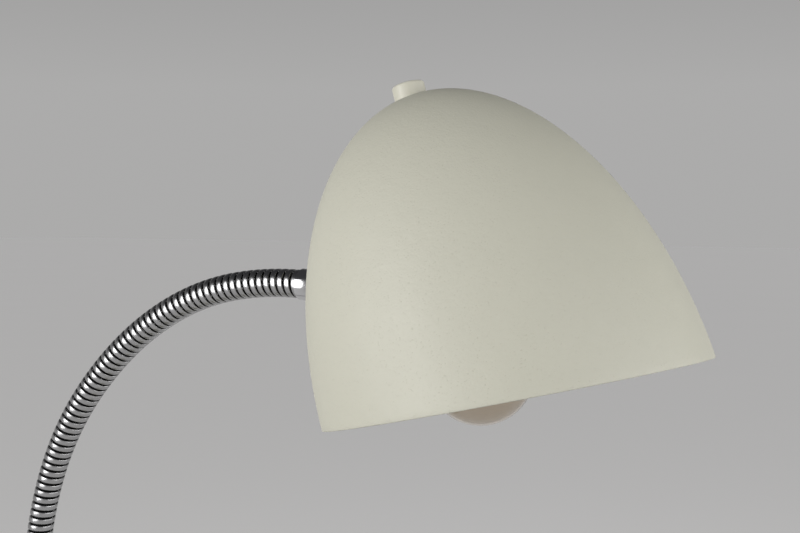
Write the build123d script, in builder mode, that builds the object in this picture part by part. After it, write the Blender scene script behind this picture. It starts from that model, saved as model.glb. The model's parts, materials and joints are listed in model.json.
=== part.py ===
"""Gooseneck desk lamp: weighted base, stay-put neck, half-egg shade and push-button lampholder."""

import os
from math import asin, cos, degrees, radians, sin, sqrt, tan

from build123d import *

os.makedirs("parts", exist_ok=True)

# ---------------------------------------------------------------------------
# Driving dimensions: millimetres and degrees. The origin is the middle of the
# base's underside, +Z is up and +X is the way the head leans out.
# ---------------------------------------------------------------------------

# Fits
press_fit = 0.03  # radial, parts of one body driven or glued together
thread_fit = 0.1  # radial, a screw thread in its nut or hole
slide_fit = 0.1  # radial, the plunger in its guide
seat_gap = 0.1  # between curved faces that bear on each other
hole_clearance = 0.4  # radial, a stem or button in its hole

# Base
base_radius = 80.0
pad_inset = 2.0
pad_thickness = 2.0
plate_thickness = 1.5
plate_gap = 0.3
cover_wall = 1.2
cover_side_height = 15.0
cover_height = 26.0
cover_bulge = 2.5
cover_shoulder_radius = 5.0
crown_land_radius = 14.0
weight_margin = 7.0
weight_boss_radius = 11.0
weight_top_gap = 0.2
weight_side_height = 9.5
nut_pocket_radius = 14.0
nut_pocket_depth = 9.0
channel_width = 9.0
channel_height = 9.0

# Base fasteners and cord entry
plate_screw_count = 3
plate_screw_inset = 18.0
plate_screw_radius = 2.0
plate_screw_length = 8.0
plate_screw_head_radius = 3.8
plate_screw_head_height = 1.6
pad_hole_clearance = 1.2
bush_bore_radius = 2.8
bush_neck_radius = 3.8
bush_flange_radius = 4.8
bush_flange_thickness = 1.5
bush_grip_play = 0.3
bush_height = 8.6
clamp_length = 27.0
clamp_width = 9.0
clamp_corner_radius = 2.0
clamp_recess_gap = 0.5
clamp_thickness = 3.0
clamp_inset = 33.0
clamp_screw_spacing = 18.0
clamp_screw_radius = 1.5
clamp_screw_depth = 6.0
clamp_screw_head_radius = 2.7
clamp_screw_head_height = 1.0
earth_screw_radius = 2.0
earth_screw_length = 5.0
earth_head_radius = 4.0
earth_head_height = 2.5
earth_pocket_radius = 6.5
earth_pocket_depth = 5.0
earth_from_centre = 28.0

# Neck: a wound steel tube in links of equal length, listed from the base up
neck_radius = 6.35
neck_bore_radius = 3.5
link_length = 38.0
link_bends = [0.0, 0.0, 1.2, 8.7, 13.1, 14.9, 12.3, 14.0, 16.8, 13.3]
grooves_per_link = 10
groove_depth = 0.9
groove_width = 0.8
ball_inset = 0.15
ball_gap = 0.3
link_swing = 27.0

# End fittings, ferrules, nuts and washers, the same at both ends of the neck
fitting_body = 14.5
spigot_length = 12.0
stem_radius = 5.0
flex_bore_radius = 2.75
stem_end = 1.5
ferrule_length = 17.0
ferrule_gap = 0.2
ferrule_wall = 0.4
ferrule_lip = 1.5
ferrule_floor = 1.8
ferrule_radius = 11.0
nut_flats = 14.0
nut_thickness = 3.0
washer_radius = 9.0
washer_thickness = 1.2

# Shade: half an egg, cut off at a slant
shade_radius = 79.6
shade_length = 135.9
shade_wall = 0.8
shade_tilt = 22.24
shade_front_drop = 8.1
shade_rear_rise = 18.8
neck_entry_share = 0.4402
egg_skirt = 20.0

# Bracket between the neck's end and the lampholder
saddle_radius = 9.0
bracket_offset = 6.0
bracket_thickness = 2.0
bracket_width = 20.0
bracket_bend = 4.0
bracket_foot = 12.0
bracket_ring_radius = 20.0

# Push-button switch, along the lampholder's axis; depths run down from the crown
holder_lean = 5.9
button_radius = 6.9
button_proud = 6.5
button_length = 11.1
button_edge = 1.2
button_travel = 2.5
plunger_radius = 2.5
plunger_grip = 6.0
plunger_flange_radius = 5.0
plunger_flange_thickness = 1.5
plunger_tip_radius = 1.5
plunger_tip_length = 1.8
stop_gap = 0.2
housing_depth = 9.0
housing_length = 29.0
housing_radius = 18.0
housing_wall = 2.5
housing_top = 3.0
housing_edge = 2.5
insert_thickness = 3.0
insert_recess = 1.0
contact_bar_depth = 21.5
contact_bar_length = 20.0
contact_bar_width = 5.0
contact_bar_thickness = 0.8
contact_gap = 0.1
contact_post_radius = 1.5
contact_post_spacing = 15.0
terminal_screw_radius = 1.25
terminal_head_radius = 2.4
terminal_head_height = 1.8
spring_wire_radius = 0.35
spring_radius = 3.0
spring_turns = 5

# Lampholder and bulb
holder_flange_thickness = 3.0
holder_length = 49.0
holder_radius = 14.0
holder_chamber_radius = 11.0
holder_chamber_depth = 12.0
socket_depth = 30.0
shell_radius = 7.0
shell_wall = 0.6
shell_length = 22.0
shell_inset = 1.5
ring_radius = 19.0
ring_flange_thickness = 2.0
ring_collar_radius = 17.0
ring_height = 7.0
contact_strip_width = 5.0
contact_strip_thickness = 0.5
contact_strip_reach = 6.5
contact_strip_knee = 1.2
contact_strip_bend = 0.6
bulb_length = 78.0
cap_wall = 0.4
cap_length = 24.5
cap_skirt_height = 1.6
cap_skirt_gap = 0.5
insulator_height = 2.6
insulator_tip_radius = 3.2
solder_radius = 2.4
solder_height = 0.6
glass_wall = 0.7
glass_neck_radius = 8.3
glass_neck_length = 5.3
glass_shoulder_radius = 10.0
stem_disc_thickness = 1.5
stem_rod_radius = 2.2
stem_rod_edge = 1.2
stem_rod_length = 14.0
lead_wire_radius = 0.3
lead_spacing = 2.0
filament_span = 14.0
filament_drop = 20.0
filament_sag = 3.0
filament_bend = 1.5


def save(part, name):
    """Labels a finished part and writes it."""
    part.label = name
    export_step(part, f"parts/{name}.step")


# ---------------------------------------------------------------------------
# Levels of the base
# ---------------------------------------------------------------------------

plate_level = pad_thickness
weight_level = plate_level + plate_thickness
crown_level = plate_level + cover_height
crown_underside = crown_level - cover_wall
neck_foot_level = crown_level + fitting_body
plate_radius = base_radius - cover_wall - plate_gap
weight_radius = base_radius - weight_margin
plate_screw_circle = base_radius - plate_screw_inset
clamp_from_centre = base_radius - clamp_inset
clamp_recess_depth = clamp_screw_head_height + clamp_thickness
nut_pocket_top = weight_level + nut_pocket_depth
underside = Plane(origin=(0, 0, weight_level), x_dir=(1, 0, 0), z_dir=(0, 0, -1))

# ---------------------------------------------------------------------------
# The neck's centreline: joint points and headings, in the plane Y = 0
# ---------------------------------------------------------------------------

joint_points = [Vector(0, 0, neck_foot_level)]
headings = [90.0]
for bend in link_bends:
    chord = link_length
    if bend:
        chord = 2 * link_length / radians(bend) * sin(radians(bend) / 2)
    chord_heading = radians(headings[-1] - bend / 2)
    step = Vector(cos(chord_heading), 0, sin(chord_heading)) * chord
    joint_points.append(joint_points[-1] + step)
    headings.append(headings[-1] - bend)


def heading_vector(heading):
    """The direction in the plane Y = 0 at an angle above +X."""
    return Vector(cos(radians(heading)), 0, sin(radians(heading)))


# ---------------------------------------------------------------------------
# The head's frames: the shade's axis, and the lampholder's leaning axis
# ---------------------------------------------------------------------------

neck_entry_depth = neck_entry_share * shade_length
front_depth = shade_length + shade_front_drop
rear_depth = shade_length - shade_rear_rise
neck_end = heading_vector(headings[-1])
shade_up = heading_vector(90 + shade_tilt)
shade_forward = heading_vector(shade_tilt)
holder_tilt = shade_tilt - holder_lean
holder_up = heading_vector(90 + holder_tilt)
holder_forward = heading_vector(holder_tilt)


def egg_radius(depth):
    """The shade's outer radius at a depth below its crown."""
    return shade_radius * sqrt(1 - (1 - depth / shade_length) ** 2)


entry_point = joint_points[-1] + neck_end * fitting_body
crown_point = entry_point + shade_up * neck_entry_depth + shade_forward * egg_radius(neck_entry_depth)
shade_section = Plane(origin=crown_point, x_dir=shade_forward, z_dir=(0, -1, 0))
shade_axis = Axis(crown_point, shade_up)
holder_section = Plane(origin=crown_point, x_dir=holder_forward, z_dir=(0, -1, 0))
holder_axis = Axis(crown_point, holder_up)
foot_seat = Plane(origin=(0, 0, crown_level), x_dir=(1, 0, 0), z_dir=(0, 0, -1))
head_seat = Plane(origin=entry_point, x_dir=(0, 1, 0), z_dir=neck_end)


def holder_level(depth):
    """The plane square to the lampholder's axis, a depth below the crown."""
    return Plane(origin=crown_point, x_dir=holder_forward, z_dir=holder_up).offset(-depth)


def shade_egg(shrink):
    """The solid half egg inside the shade's outer face by shrink, past its rim."""
    curl = degrees(asin(egg_skirt / shade_length))
    with BuildPart(mode=Mode.PRIVATE) as egg:
        with BuildSketch(shade_section):
            with BuildLine():
                side = EllipticalCenterArc(
                    (0, -shade_length),
                    shade_radius - shrink,
                    shade_length - shrink,
                    start_angle=-curl,
                    arc_size=90 + curl,
                )
                foot = Line(side @ 0, (0, (side @ 0).Y))
                Line(foot @ 1, side @ 1)
            make_face()
        revolve(axis=shade_axis)
    return egg.part


# ---------------------------------------------------------------------------
# Base
# ---------------------------------------------------------------------------

# Felt pad under the base, with an opening round each plate screw's head
with BuildPart() as base_pad:
    with BuildSketch():
        Circle(base_radius - pad_inset)
        with PolarLocations(plate_screw_circle, plate_screw_count):
            Circle(plate_screw_head_radius + pad_hole_clearance, mode=Mode.SUBTRACT)
    extrude(amount=pad_thickness)
save(base_pad.part, "base_pad")

# Steel bottom plate
with BuildPart() as base_plate:
    with BuildSketch(Plane.XY.offset(plate_level)):
        Circle(plate_radius)
        with PolarLocations(plate_screw_circle, plate_screw_count):
            Circle(plate_screw_radius + hole_clearance, mode=Mode.SUBTRACT)
    extrude(amount=plate_thickness)
save(base_plate.part, "base_plate")

# Pan-head screws that hold the plate to the weight
with BuildPart() as plate_screws:
    with BuildSketch(Plane.XY.offset(plate_level)):
        with PolarLocations(plate_screw_circle, plate_screw_count):
            Circle(plate_screw_head_radius)
    extrude(amount=-plate_screw_head_height)
    with BuildSketch(Plane.XY.offset(plate_level)):
        with PolarLocations(plate_screw_circle, plate_screw_count):
            Circle(plate_screw_radius)
    extrude(amount=plate_thickness + plate_screw_length)
save(plate_screws.part, "plate_screws")

# Cast-iron weight: a low cone with a boss under the crown, a pocket for the
# lock nut, and a channel that leads the cord from the rear to the middle
with BuildPart() as base_weight:
    with BuildSketch(Plane.XZ):
        with BuildLine():
            Polyline(
                (0, weight_level),
                (weight_radius, weight_level),
                (weight_radius, weight_level + weight_side_height),
                (weight_boss_radius, crown_underside - weight_top_gap),
                (0, crown_underside - weight_top_gap),
                close=True,
            )
        make_face()
    revolve(axis=Axis.Z)
    with BuildSketch(Plane.XY.offset(weight_level)):
        Circle(nut_pocket_radius)
    extrude(amount=nut_pocket_depth, mode=Mode.SUBTRACT)
    with BuildSketch(Plane.XY.offset(weight_level)):
        Circle(stem_radius + hole_clearance)
    extrude(amount=cover_height, mode=Mode.SUBTRACT)
    with BuildSketch(Plane.XY.offset(weight_level)):
        with Locations((-weight_radius / 2, 0)):
            Rectangle(weight_radius, channel_width)
    extrude(amount=channel_height, mode=Mode.SUBTRACT)
    with BuildSketch(Plane.XY.offset(weight_level)):
        with Locations((-clamp_from_centre, 0)):
            Rectangle(clamp_width + 2 * clamp_recess_gap, clamp_length + 2 * clamp_recess_gap)
    extrude(amount=clamp_recess_depth, mode=Mode.SUBTRACT)
    with BuildSketch(Plane.XY.offset(weight_level)):
        with Locations((-clamp_from_centre, 0)):
            with GridLocations(0, clamp_screw_spacing, 1, 2):
                Circle(clamp_screw_radius + thread_fit)
    extrude(amount=clamp_recess_depth + clamp_screw_depth, mode=Mode.SUBTRACT)
    with BuildSketch(Plane.XY.offset(weight_level)):
        with PolarLocations(plate_screw_circle, plate_screw_count):
            Circle(plate_screw_radius + thread_fit)
    extrude(amount=plate_screw_length, mode=Mode.SUBTRACT)
    with BuildSketch(Plane.XY.offset(weight_level)):
        with Locations((0, earth_from_centre)):
            Circle(earth_pocket_radius)
    extrude(amount=earth_pocket_depth, mode=Mode.SUBTRACT)
    with BuildSketch(Plane.XY.offset(weight_level + earth_pocket_depth)):
        with Locations((0, earth_from_centre)):
            Circle(earth_screw_radius + thread_fit)
    extrude(amount=earth_screw_length, mode=Mode.SUBTRACT)
save(base_weight.part, "base_weight")

# Pressed steel cover: straight side, rounded shoulder, low dome, flat crown
bush_plane = Plane(origin=(-base_radius, 0, bush_height), x_dir=(0, 1, 0), z_dir=(-1, 0, 0))
with BuildPart() as base_cover:
    with BuildSketch(Plane.XZ) as cover_profile:
        with BuildLine():
            side = Line((base_radius, plate_level), (base_radius, plate_level + cover_side_height))
            dome = SagittaArc(side @ 1, (crown_land_radius, crown_level), -cover_bulge)
            Polyline(dome @ 1, (0, crown_level), (0, plate_level), side @ 0)
        make_face()
        shoulder = cover_profile.vertices().group_by(Axis.X)[-1].sort_by(Axis.Y)[-1]
        fillet(shoulder, radius=cover_shoulder_radius)
    revolve(axis=Axis.Z)
    offset(amount=-cover_wall, openings=base_cover.faces().sort_by(Axis.Z)[0])
    with BuildSketch(Plane.XY.offset(crown_level)):
        Circle(stem_radius + hole_clearance)
    extrude(amount=-2 * cover_wall, mode=Mode.SUBTRACT)
    with BuildSketch(bush_plane):
        Circle(bush_neck_radius + press_fit)
    extrude(amount=-2 * cover_wall, mode=Mode.SUBTRACT)
save(base_cover.part, "base_cover")

# Rubber bush in the cover's rear wall: two flanges on a neck, and the cord's bore
bush_grip = cover_wall + bush_grip_play
with BuildPart() as cord_bush:
    with BuildSketch(bush_plane.offset(bush_flange_thickness)):
        Circle(bush_flange_radius)
    extrude(amount=-bush_flange_thickness)
    with BuildSketch(bush_plane):
        Circle(bush_neck_radius)
    extrude(amount=-bush_grip)
    with BuildSketch(bush_plane.offset(-bush_grip)):
        Circle(bush_flange_radius)
    extrude(amount=-bush_flange_thickness)
    with BuildSketch(bush_plane.offset(bush_flange_thickness)):
        Circle(bush_bore_radius)
    extrude(amount=-2 * bush_flange_thickness - bush_grip, mode=Mode.SUBTRACT)
save(cord_bush.part, "cord_bush")

# Clamp bar across the channel, which grips the cord behind the bush
clamp_level = Plane.XY.offset(weight_level + clamp_screw_head_height)
with BuildPart() as cord_clamp:
    with BuildSketch(clamp_level):
        with Locations((-clamp_from_centre, 0)):
            RectangleRounded(clamp_width, clamp_length, clamp_corner_radius)
            with GridLocations(0, clamp_screw_spacing, 1, 2):
                Circle(clamp_screw_radius + hole_clearance, mode=Mode.SUBTRACT)
    extrude(amount=clamp_thickness)
save(cord_clamp.part, "cord_clamp")

with BuildPart() as clamp_screws:
    with BuildSketch(clamp_level):
        with Locations((-clamp_from_centre, 0)):
            with GridLocations(0, clamp_screw_spacing, 1, 2):
                Circle(clamp_screw_head_radius)
    extrude(amount=-clamp_screw_head_height)
    with BuildSketch(clamp_level):
        with Locations((-clamp_from_centre, 0)):
            with GridLocations(0, clamp_screw_spacing, 1, 2):
                Circle(clamp_screw_radius)
    extrude(amount=clamp_thickness + clamp_screw_depth)
save(clamp_screws.part, "clamp_screws")

# Earth terminal screw in its pocket under the weight
earth_seat = Plane.XY.offset(weight_level + earth_pocket_depth)
with BuildPart() as earth_screw:
    with BuildSketch(earth_seat):
        with Locations((0, earth_from_centre)):
            Circle(earth_head_radius)
    extrude(amount=-earth_head_height)
    with BuildSketch(earth_seat):
        with Locations((0, earth_from_centre)):
            Circle(earth_screw_radius)
    extrude(amount=earth_screw_length)
save(earth_screw.part, "earth_screw")

# ---------------------------------------------------------------------------
# Neck links: each ends in a ball, and the next starts in a cup round that ball
# ---------------------------------------------------------------------------

ball_radius = neck_radius - ball_inset
cup_radius = ball_radius + ball_gap
cup_depth = neck_radius * tan(radians(link_swing))
last_link = len(link_bends) - 1

for index, bend in enumerate(link_bends):
    start, end = joint_points[index], joint_points[index + 1]
    start_plane = Plane(origin=start, x_dir=(0, 1, 0), z_dir=heading_vector(headings[index]))
    end_plane = Plane(origin=end, x_dir=(0, 1, 0), z_dir=heading_vector(headings[index + 1]))
    with BuildPart() as neck_link:
        with BuildLine() as centre:
            if bend:
                middle_heading = headings[index] - bend / 4
                middle_chord = 2 * link_length / radians(bend) * sin(radians(bend) / 4)
                middle = start + heading_vector(middle_heading) * middle_chord
                ThreePointArc(start, middle, end)
            else:
                Line(start, end)
        with BuildSketch(start_plane):
            Circle(neck_radius)
        sweep()
        if index < last_link:
            with Locations(end_plane):
                Sphere(ball_radius)
        if index > 0:
            with Locations(start_plane):
                Sphere(cup_radius, mode=Mode.SUBTRACT)
                Cylinder(
                    neck_radius + groove_depth,
                    cup_depth,
                    align=(Align.CENTER, Align.CENTER, Align.MIN),
                    mode=Mode.SUBTRACT,
                )
        turns = [(turn + 0.5) / grooves_per_link for turn in range(min(index, 1), grooves_per_link)]
        grooves = [Plane(origin=centre.line @ t, x_dir=(0, 1, 0), z_dir=centre.line % t) for t in turns]
        with BuildSketch(*grooves):
            Circle(neck_radius + groove_depth)
            Circle(neck_radius - groove_depth, mode=Mode.SUBTRACT)
        extrude(amount=groove_width / 2, both=True, mode=Mode.SUBTRACT)
        with BuildLine() as bore_path:
            Line(start_plane.offset(-ball_radius).origin, start)
            add(centre.line)
            Line(end, end_plane.offset(cup_radius).origin)
        with BuildSketch(start_plane.offset(-ball_radius)):
            Circle(neck_bore_radius)
        sweep(path=bore_path.wire(), mode=Mode.SUBTRACT)
        if index == last_link:
            with BuildSketch(end_plane):
                Circle(neck_bore_radius)
            extrude(amount=-spigot_length, mode=Mode.SUBTRACT)
    save(neck_link.part, f"neck_link_{index + 1:02d}")

# ---------------------------------------------------------------------------
# Fittings at the neck's two ends. A seat is the plane where the fitting's body
# bears, and it faces away from the neck.
# ---------------------------------------------------------------------------


def end_fitting(seat, stem_length, name):
    """Turned steel fitting: spigot in the tube, body as wide as the tube, threaded stem."""
    with BuildPart() as fitting:
        with BuildSketch(seat.offset(-ferrule_floor)):
            Circle(neck_radius)
        extrude(amount=ferrule_floor - fitting_body)
        with BuildSketch(seat.offset(-fitting_body)):
            Circle(neck_bore_radius - press_fit)
        extrude(amount=-spigot_length)
        with BuildSketch(seat.offset(-ferrule_floor)):
            Circle(stem_radius)
        extrude(amount=ferrule_floor + stem_length)
        with BuildSketch(seat.offset(stem_length)):
            Circle(flex_bore_radius)
        extrude(amount=-stem_length - fitting_body - spigot_length, mode=Mode.SUBTRACT)
    save(fitting.part, name)


def bell_ferrule(seat, overrun, cutter, name):
    """Chrome trumpet over the tube's end; its floor is clamped between fitting and seat."""
    section = Plane(origin=seat.origin, x_dir=seat.y_dir, z_dir=seat.x_dir)
    bore = neck_radius + ferrule_gap
    stem_hole = stem_radius + hole_clearance
    mouth = bore + ferrule_wall
    with BuildPart() as ferrule:
        with BuildSketch(section):
            with BuildLine():
                flare = TangentArc(
                    (mouth, -ferrule_length), (ferrule_radius, -ferrule_lip), tangent=(0, 1)
                )
                Polyline(
                    flare @ 1,
                    (ferrule_radius, overrun),
                    (stem_hole, overrun),
                    (stem_hole, -ferrule_floor),
                    (bore, -ferrule_floor),
                    (bore, -ferrule_length),
                    flare @ 0,
                )
            make_face()
        revolve(axis=Axis(seat.origin, seat.z_dir))
        if cutter:
            add(cutter, mode=Mode.SUBTRACT)
    save(ferrule.part, name)


def washer(seat, name):
    """Flat steel washer for the stem, laid on the seat."""
    with BuildPart() as ring:
        with BuildSketch(seat):
            Circle(washer_radius)
            Circle(stem_radius + hole_clearance, mode=Mode.SUBTRACT)
        extrude(amount=washer_thickness)
    save(ring.part, name)


def lock_nut(seat, name):
    """Thin hexagon nut on the stem, laid on the seat."""
    with BuildPart() as nut:
        with BuildSketch(seat):
            RegularPolygon(nut_flats / 2, 6, major_radius=False)
            Circle(stem_radius + thread_fit, mode=Mode.SUBTRACT)
        extrude(amount=nut_thickness)
    save(nut.part, name)


foot_grip = crown_level - nut_pocket_top
head_grip = bracket_offset + bracket_thickness
stem_past_grip = washer_thickness + nut_thickness + stem_end

end_fitting(foot_seat, foot_grip + stem_past_grip, "foot_fitting")
bell_ferrule(foot_seat, 0, None, "foot_ferrule")
washer(foot_seat.offset(foot_grip), "foot_washer")
lock_nut(foot_seat.offset(foot_grip + washer_thickness), "foot_nut")

end_fitting(head_seat, head_grip + stem_past_grip, "head_fitting")
bell_ferrule(head_seat, ferrule_lip, shade_egg(-seat_gap), "head_ferrule")
washer(head_seat.offset(head_grip), "head_washer")
lock_nut(head_seat.offset(head_grip + washer_thickness), "head_nut")

# ---------------------------------------------------------------------------
# Shade and the bracket inside it
# ---------------------------------------------------------------------------

# Spun steel shell, lacquered; its rim is a plane through the front and rear depths
rim_front = shade_section.from_local_coords((egg_radius(front_depth), -front_depth))
rim_rear = shade_section.from_local_coords((-egg_radius(rear_depth), -rear_depth))
rim_plane = Plane(origin=rim_rear, x_dir=(0, 1, 0), z_dir=(rim_front - rim_rear).cross(Vector(0, 1, 0)))
with BuildPart() as shade:
    add(shade_egg(0))
    add(shade_egg(shade_wall), mode=Mode.SUBTRACT)
    split(bisect_by=rim_plane, keep=Keep.TOP if rim_plane.z_dir.Z > 0 else Keep.BOTTOM)
    with BuildSketch(holder_level(-button_proud)):
        Circle(button_radius + hole_clearance)
    extrude(amount=-housing_depth - button_proud, mode=Mode.SUBTRACT)
    with BuildSketch(head_seat.offset(-bracket_offset)):
        Circle(stem_radius + hole_clearance)
    extrude(amount=2 * bracket_offset, mode=Mode.SUBTRACT)
save(shade.part, "shade")

# Saddle: a thick ring cut to the wall's inner curve, flat where the bracket bears
with BuildPart() as head_saddle:
    with BuildSketch(head_seat.offset(bracket_offset)):
        Circle(saddle_radius)
        Circle(stem_radius + hole_clearance, mode=Mode.SUBTRACT)
    extrude(amount=-2 * bracket_offset)
    add(shade_egg(shade_wall + seat_gap), mode=Mode.INTERSECT)
save(head_saddle.part, "head_saddle")

# Bracket: a bent strip from the neck's stem to a ring round the lampholder
bracket_depth = housing_depth + housing_length + holder_flange_thickness
flange_up = heading_vector(headings[-1] + 90)
flange_origin = entry_point + neck_end * bracket_offset
arm_origin = crown_point - holder_up * bracket_depth
corner_rise = (arm_origin - flange_origin).dot(holder_up) / flange_up.dot(holder_up)
bracket_corner = flange_origin + flange_up * corner_rise
bracket_low = flange_origin - flange_up * bracket_foot
with BuildPart() as head_bracket:
    with BuildSketch(Plane.XZ):
        with BuildLine():
            FilletPolyline(
                (bracket_low.X, bracket_low.Z),
                (bracket_corner.X, bracket_corner.Z),
                (arm_origin.X, arm_origin.Z),
                radius=bracket_bend,
            )
            offset(amount=bracket_thickness, side=Side.RIGHT)
        make_face()
    extrude(amount=bracket_width / 2, both=True)
    with BuildSketch(holder_level(bracket_depth)):
        Circle(bracket_ring_radius)
    extrude(amount=-bracket_thickness)
    with BuildSketch(holder_level(bracket_depth - bracket_thickness)):
        Circle(holder_radius + hole_clearance)
    extrude(amount=-3 * bracket_thickness, mode=Mode.SUBTRACT)
    with BuildSketch(head_seat.offset(bracket_offset - bracket_thickness)):
        Circle(stem_radius + hole_clearance)
    extrude(amount=3 * bracket_thickness, mode=Mode.SUBTRACT)
save(head_bracket.part, "head_bracket")

# ---------------------------------------------------------------------------
# Push-button switch
# ---------------------------------------------------------------------------

housing_foot = housing_depth + housing_length
insert_depth = housing_foot - insert_recess - insert_thickness
cavity_radius = housing_radius - housing_wall
bar_underside = contact_bar_depth + contact_bar_thickness
plunger_top = button_proud - button_length + plunger_grip

# Lacquered button: a short cylinder with a rounded edge, bored for the plunger
with BuildPart() as push_button:
    with BuildSketch(holder_level(-button_proud)):
        Circle(button_radius)
    extrude(amount=-button_length)
    fillet(push_button.edges().sort_by(holder_axis)[-1], radius=button_edge)
    with BuildSketch(holder_level(button_length - button_proud)):
        Circle(plunger_radius + press_fit)
    extrude(amount=plunger_grip, mode=Mode.SUBTRACT)
save(push_button.part, "push_button")

# Plunger: stem, flange that stops under the housing's top, and spring tip
with BuildPart() as plunger:
    with BuildSketch(holder_level(-plunger_top)):
        Circle(plunger_radius)
    extrude(amount=-plunger_top - contact_bar_depth)
    with BuildSketch(holder_level(housing_depth + housing_top + stop_gap)):
        Circle(plunger_flange_radius)
    extrude(amount=-plunger_flange_thickness)
    with BuildSketch(holder_level(contact_bar_depth)):
        Circle(plunger_tip_radius)
    extrude(amount=-plunger_tip_length)
save(plunger.part, "plunger")

# Brass bar that bridges the two fixed contacts when the button is down
with BuildPart() as moving_contact:
    with BuildSketch(holder_level(contact_bar_depth)):
        SlotOverall(contact_bar_length, contact_bar_width, rotation=90)
        Circle(plunger_tip_radius + press_fit, mode=Mode.SUBTRACT)
    extrude(amount=-contact_bar_thickness)
save(moving_contact.part, "moving_contact")

# Moulded housing: a cup, open downwards, with the plunger's guide in its top
with BuildPart() as switch_housing:
    with BuildSketch(holder_level(housing_depth)):
        Circle(housing_radius)
    extrude(amount=-housing_length)
    fillet(switch_housing.edges().sort_by(holder_axis)[-1], radius=housing_edge)
    with BuildSketch(holder_level(housing_foot)):
        Circle(cavity_radius)
    extrude(amount=housing_length - housing_top, mode=Mode.SUBTRACT)
    with BuildSketch(holder_level(housing_depth)):
        Circle(plunger_radius + slide_fit)
    extrude(amount=-housing_top, mode=Mode.SUBTRACT)
    entry = crown_point - holder_up * (contact_bar_depth + insert_depth) / 2
    with BuildSketch(Plane(origin=entry, x_dir=(0, 1, 0), z_dir=holder_forward * -1)):
        Circle(flex_bore_radius + hole_clearance)
    extrude(amount=2 * housing_radius, mode=Mode.SUBTRACT)
save(switch_housing.part, "switch_housing")

# Insert that closes the housing, with the holes for its contacts
with BuildPart() as switch_insert:
    with BuildSketch(holder_level(insert_depth)):
        Circle(cavity_radius - press_fit)
        with GridLocations(0, contact_post_spacing, 1, 2):
            Circle(contact_post_radius + press_fit, mode=Mode.SUBTRACT)
        with GridLocations(contact_post_spacing, 0, 2, 1):
            Circle(terminal_screw_radius + thread_fit, mode=Mode.SUBTRACT)
    extrude(amount=-insert_thickness)
save(switch_insert.part, "switch_insert")

# Two brass posts, which stop just short of the bar at the end of its travel
post_top = bar_underside + button_travel + contact_gap
with BuildPart() as switch_contacts:
    with BuildSketch(holder_level(post_top)):
        with GridLocations(0, contact_post_spacing, 1, 2):
            Circle(contact_post_radius)
    extrude(amount=post_top - insert_depth - insert_thickness)
save(switch_contacts.part, "switch_contacts")

# Two terminal screws, one for each wire of the cord
with BuildPart() as terminal_screws:
    with BuildSketch(holder_level(insert_depth)):
        with GridLocations(contact_post_spacing, 0, 2, 1):
            Circle(terminal_head_radius)
    extrude(amount=terminal_head_height)
    with BuildSketch(holder_level(insert_depth)):
        with GridLocations(contact_post_spacing, 0, 2, 1):
            Circle(terminal_screw_radius)
    extrude(amount=-insert_thickness)
save(terminal_screws.part, "terminal_screws")

# Return spring between the bar and the insert
spring_top = bar_underside + spring_wire_radius + seat_gap
spring_foot = insert_depth - spring_wire_radius - seat_gap
spring_height = spring_foot - spring_top
with BuildPart() as return_spring:
    with BuildLine() as coil:
        Helix(
            spring_height / spring_turns,
            spring_height,
            spring_radius,
            center=holder_level(spring_foot).origin,
            direction=holder_up,
        )
    with BuildSketch(Plane(origin=coil.line @ 0, z_dir=coil.line % 0)):
        Circle(spring_wire_radius)
    sweep(is_frenet=True)
save(return_spring.part, "return_spring")

# ---------------------------------------------------------------------------
# Lampholder
# ---------------------------------------------------------------------------

holder_foot = housing_foot + holder_length
socket_top = holder_foot - socket_depth

# Moulded body: flange under the housing, wiring chamber above, socket below
with BuildPart() as holder_body:
    with BuildSketch(holder_level(housing_foot)):
        Circle(housing_radius)
    extrude(amount=-holder_flange_thickness)
    with BuildSketch(holder_level(housing_foot)):
        Circle(holder_radius)
    extrude(amount=-holder_length)
    with BuildSketch(holder_level(housing_foot)):
        Circle(holder_chamber_radius)
    extrude(amount=-holder_chamber_depth, mode=Mode.SUBTRACT)
    with BuildSketch(holder_level(holder_foot)):
        Circle(shell_radius + shell_wall + press_fit)
    extrude(amount=socket_depth, mode=Mode.SUBTRACT)
save(holder_body.part, "holder_body")

# Ring nut that clamps the bracket's ring under the holder's flange
ring_depth = bracket_depth + bracket_thickness
with BuildPart() as holder_ring:
    with BuildSketch(holder_level(ring_depth)):
        Circle(ring_radius)
    extrude(amount=-ring_flange_thickness)
    with BuildSketch(holder_level(ring_depth)):
        Circle(ring_collar_radius)
    extrude(amount=-ring_height)
    with BuildSketch(holder_level(ring_depth)):
        Circle(holder_radius + thread_fit)
    extrude(amount=-ring_height, mode=Mode.SUBTRACT)
save(holder_ring.part, "holder_ring")

# Brass screw shell in the socket
with BuildPart() as screw_shell:
    with BuildSketch(holder_level(holder_foot - shell_inset)):
        Circle(shell_radius + shell_wall)
        Circle(shell_radius, mode=Mode.SUBTRACT)
    extrude(amount=shell_length)
save(screw_shell.part, "screw_shell")

# Bulb sizes, with depths down from the crown: the cap screws in until its skirt
# nearly meets the holder, and the ball fills what the cap and neck leave
cap_radius = shell_radius - thread_fit
cap_skirt_radius = glass_neck_radius + seat_gap + cap_wall
cap_foot = holder_foot + cap_skirt_gap + cap_skirt_height
cap_depth = cap_foot - cap_length
insulator_depth = cap_depth - insulator_height
bulb_top = insulator_depth - solder_height
bulb_reach = bulb_top + bulb_length
glass_top = cap_foot - cap_skirt_height + cap_wall
bulb_radius = (bulb_reach - cap_foot - glass_neck_length) / 2
bulb_centre_depth = bulb_reach - bulb_radius

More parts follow.
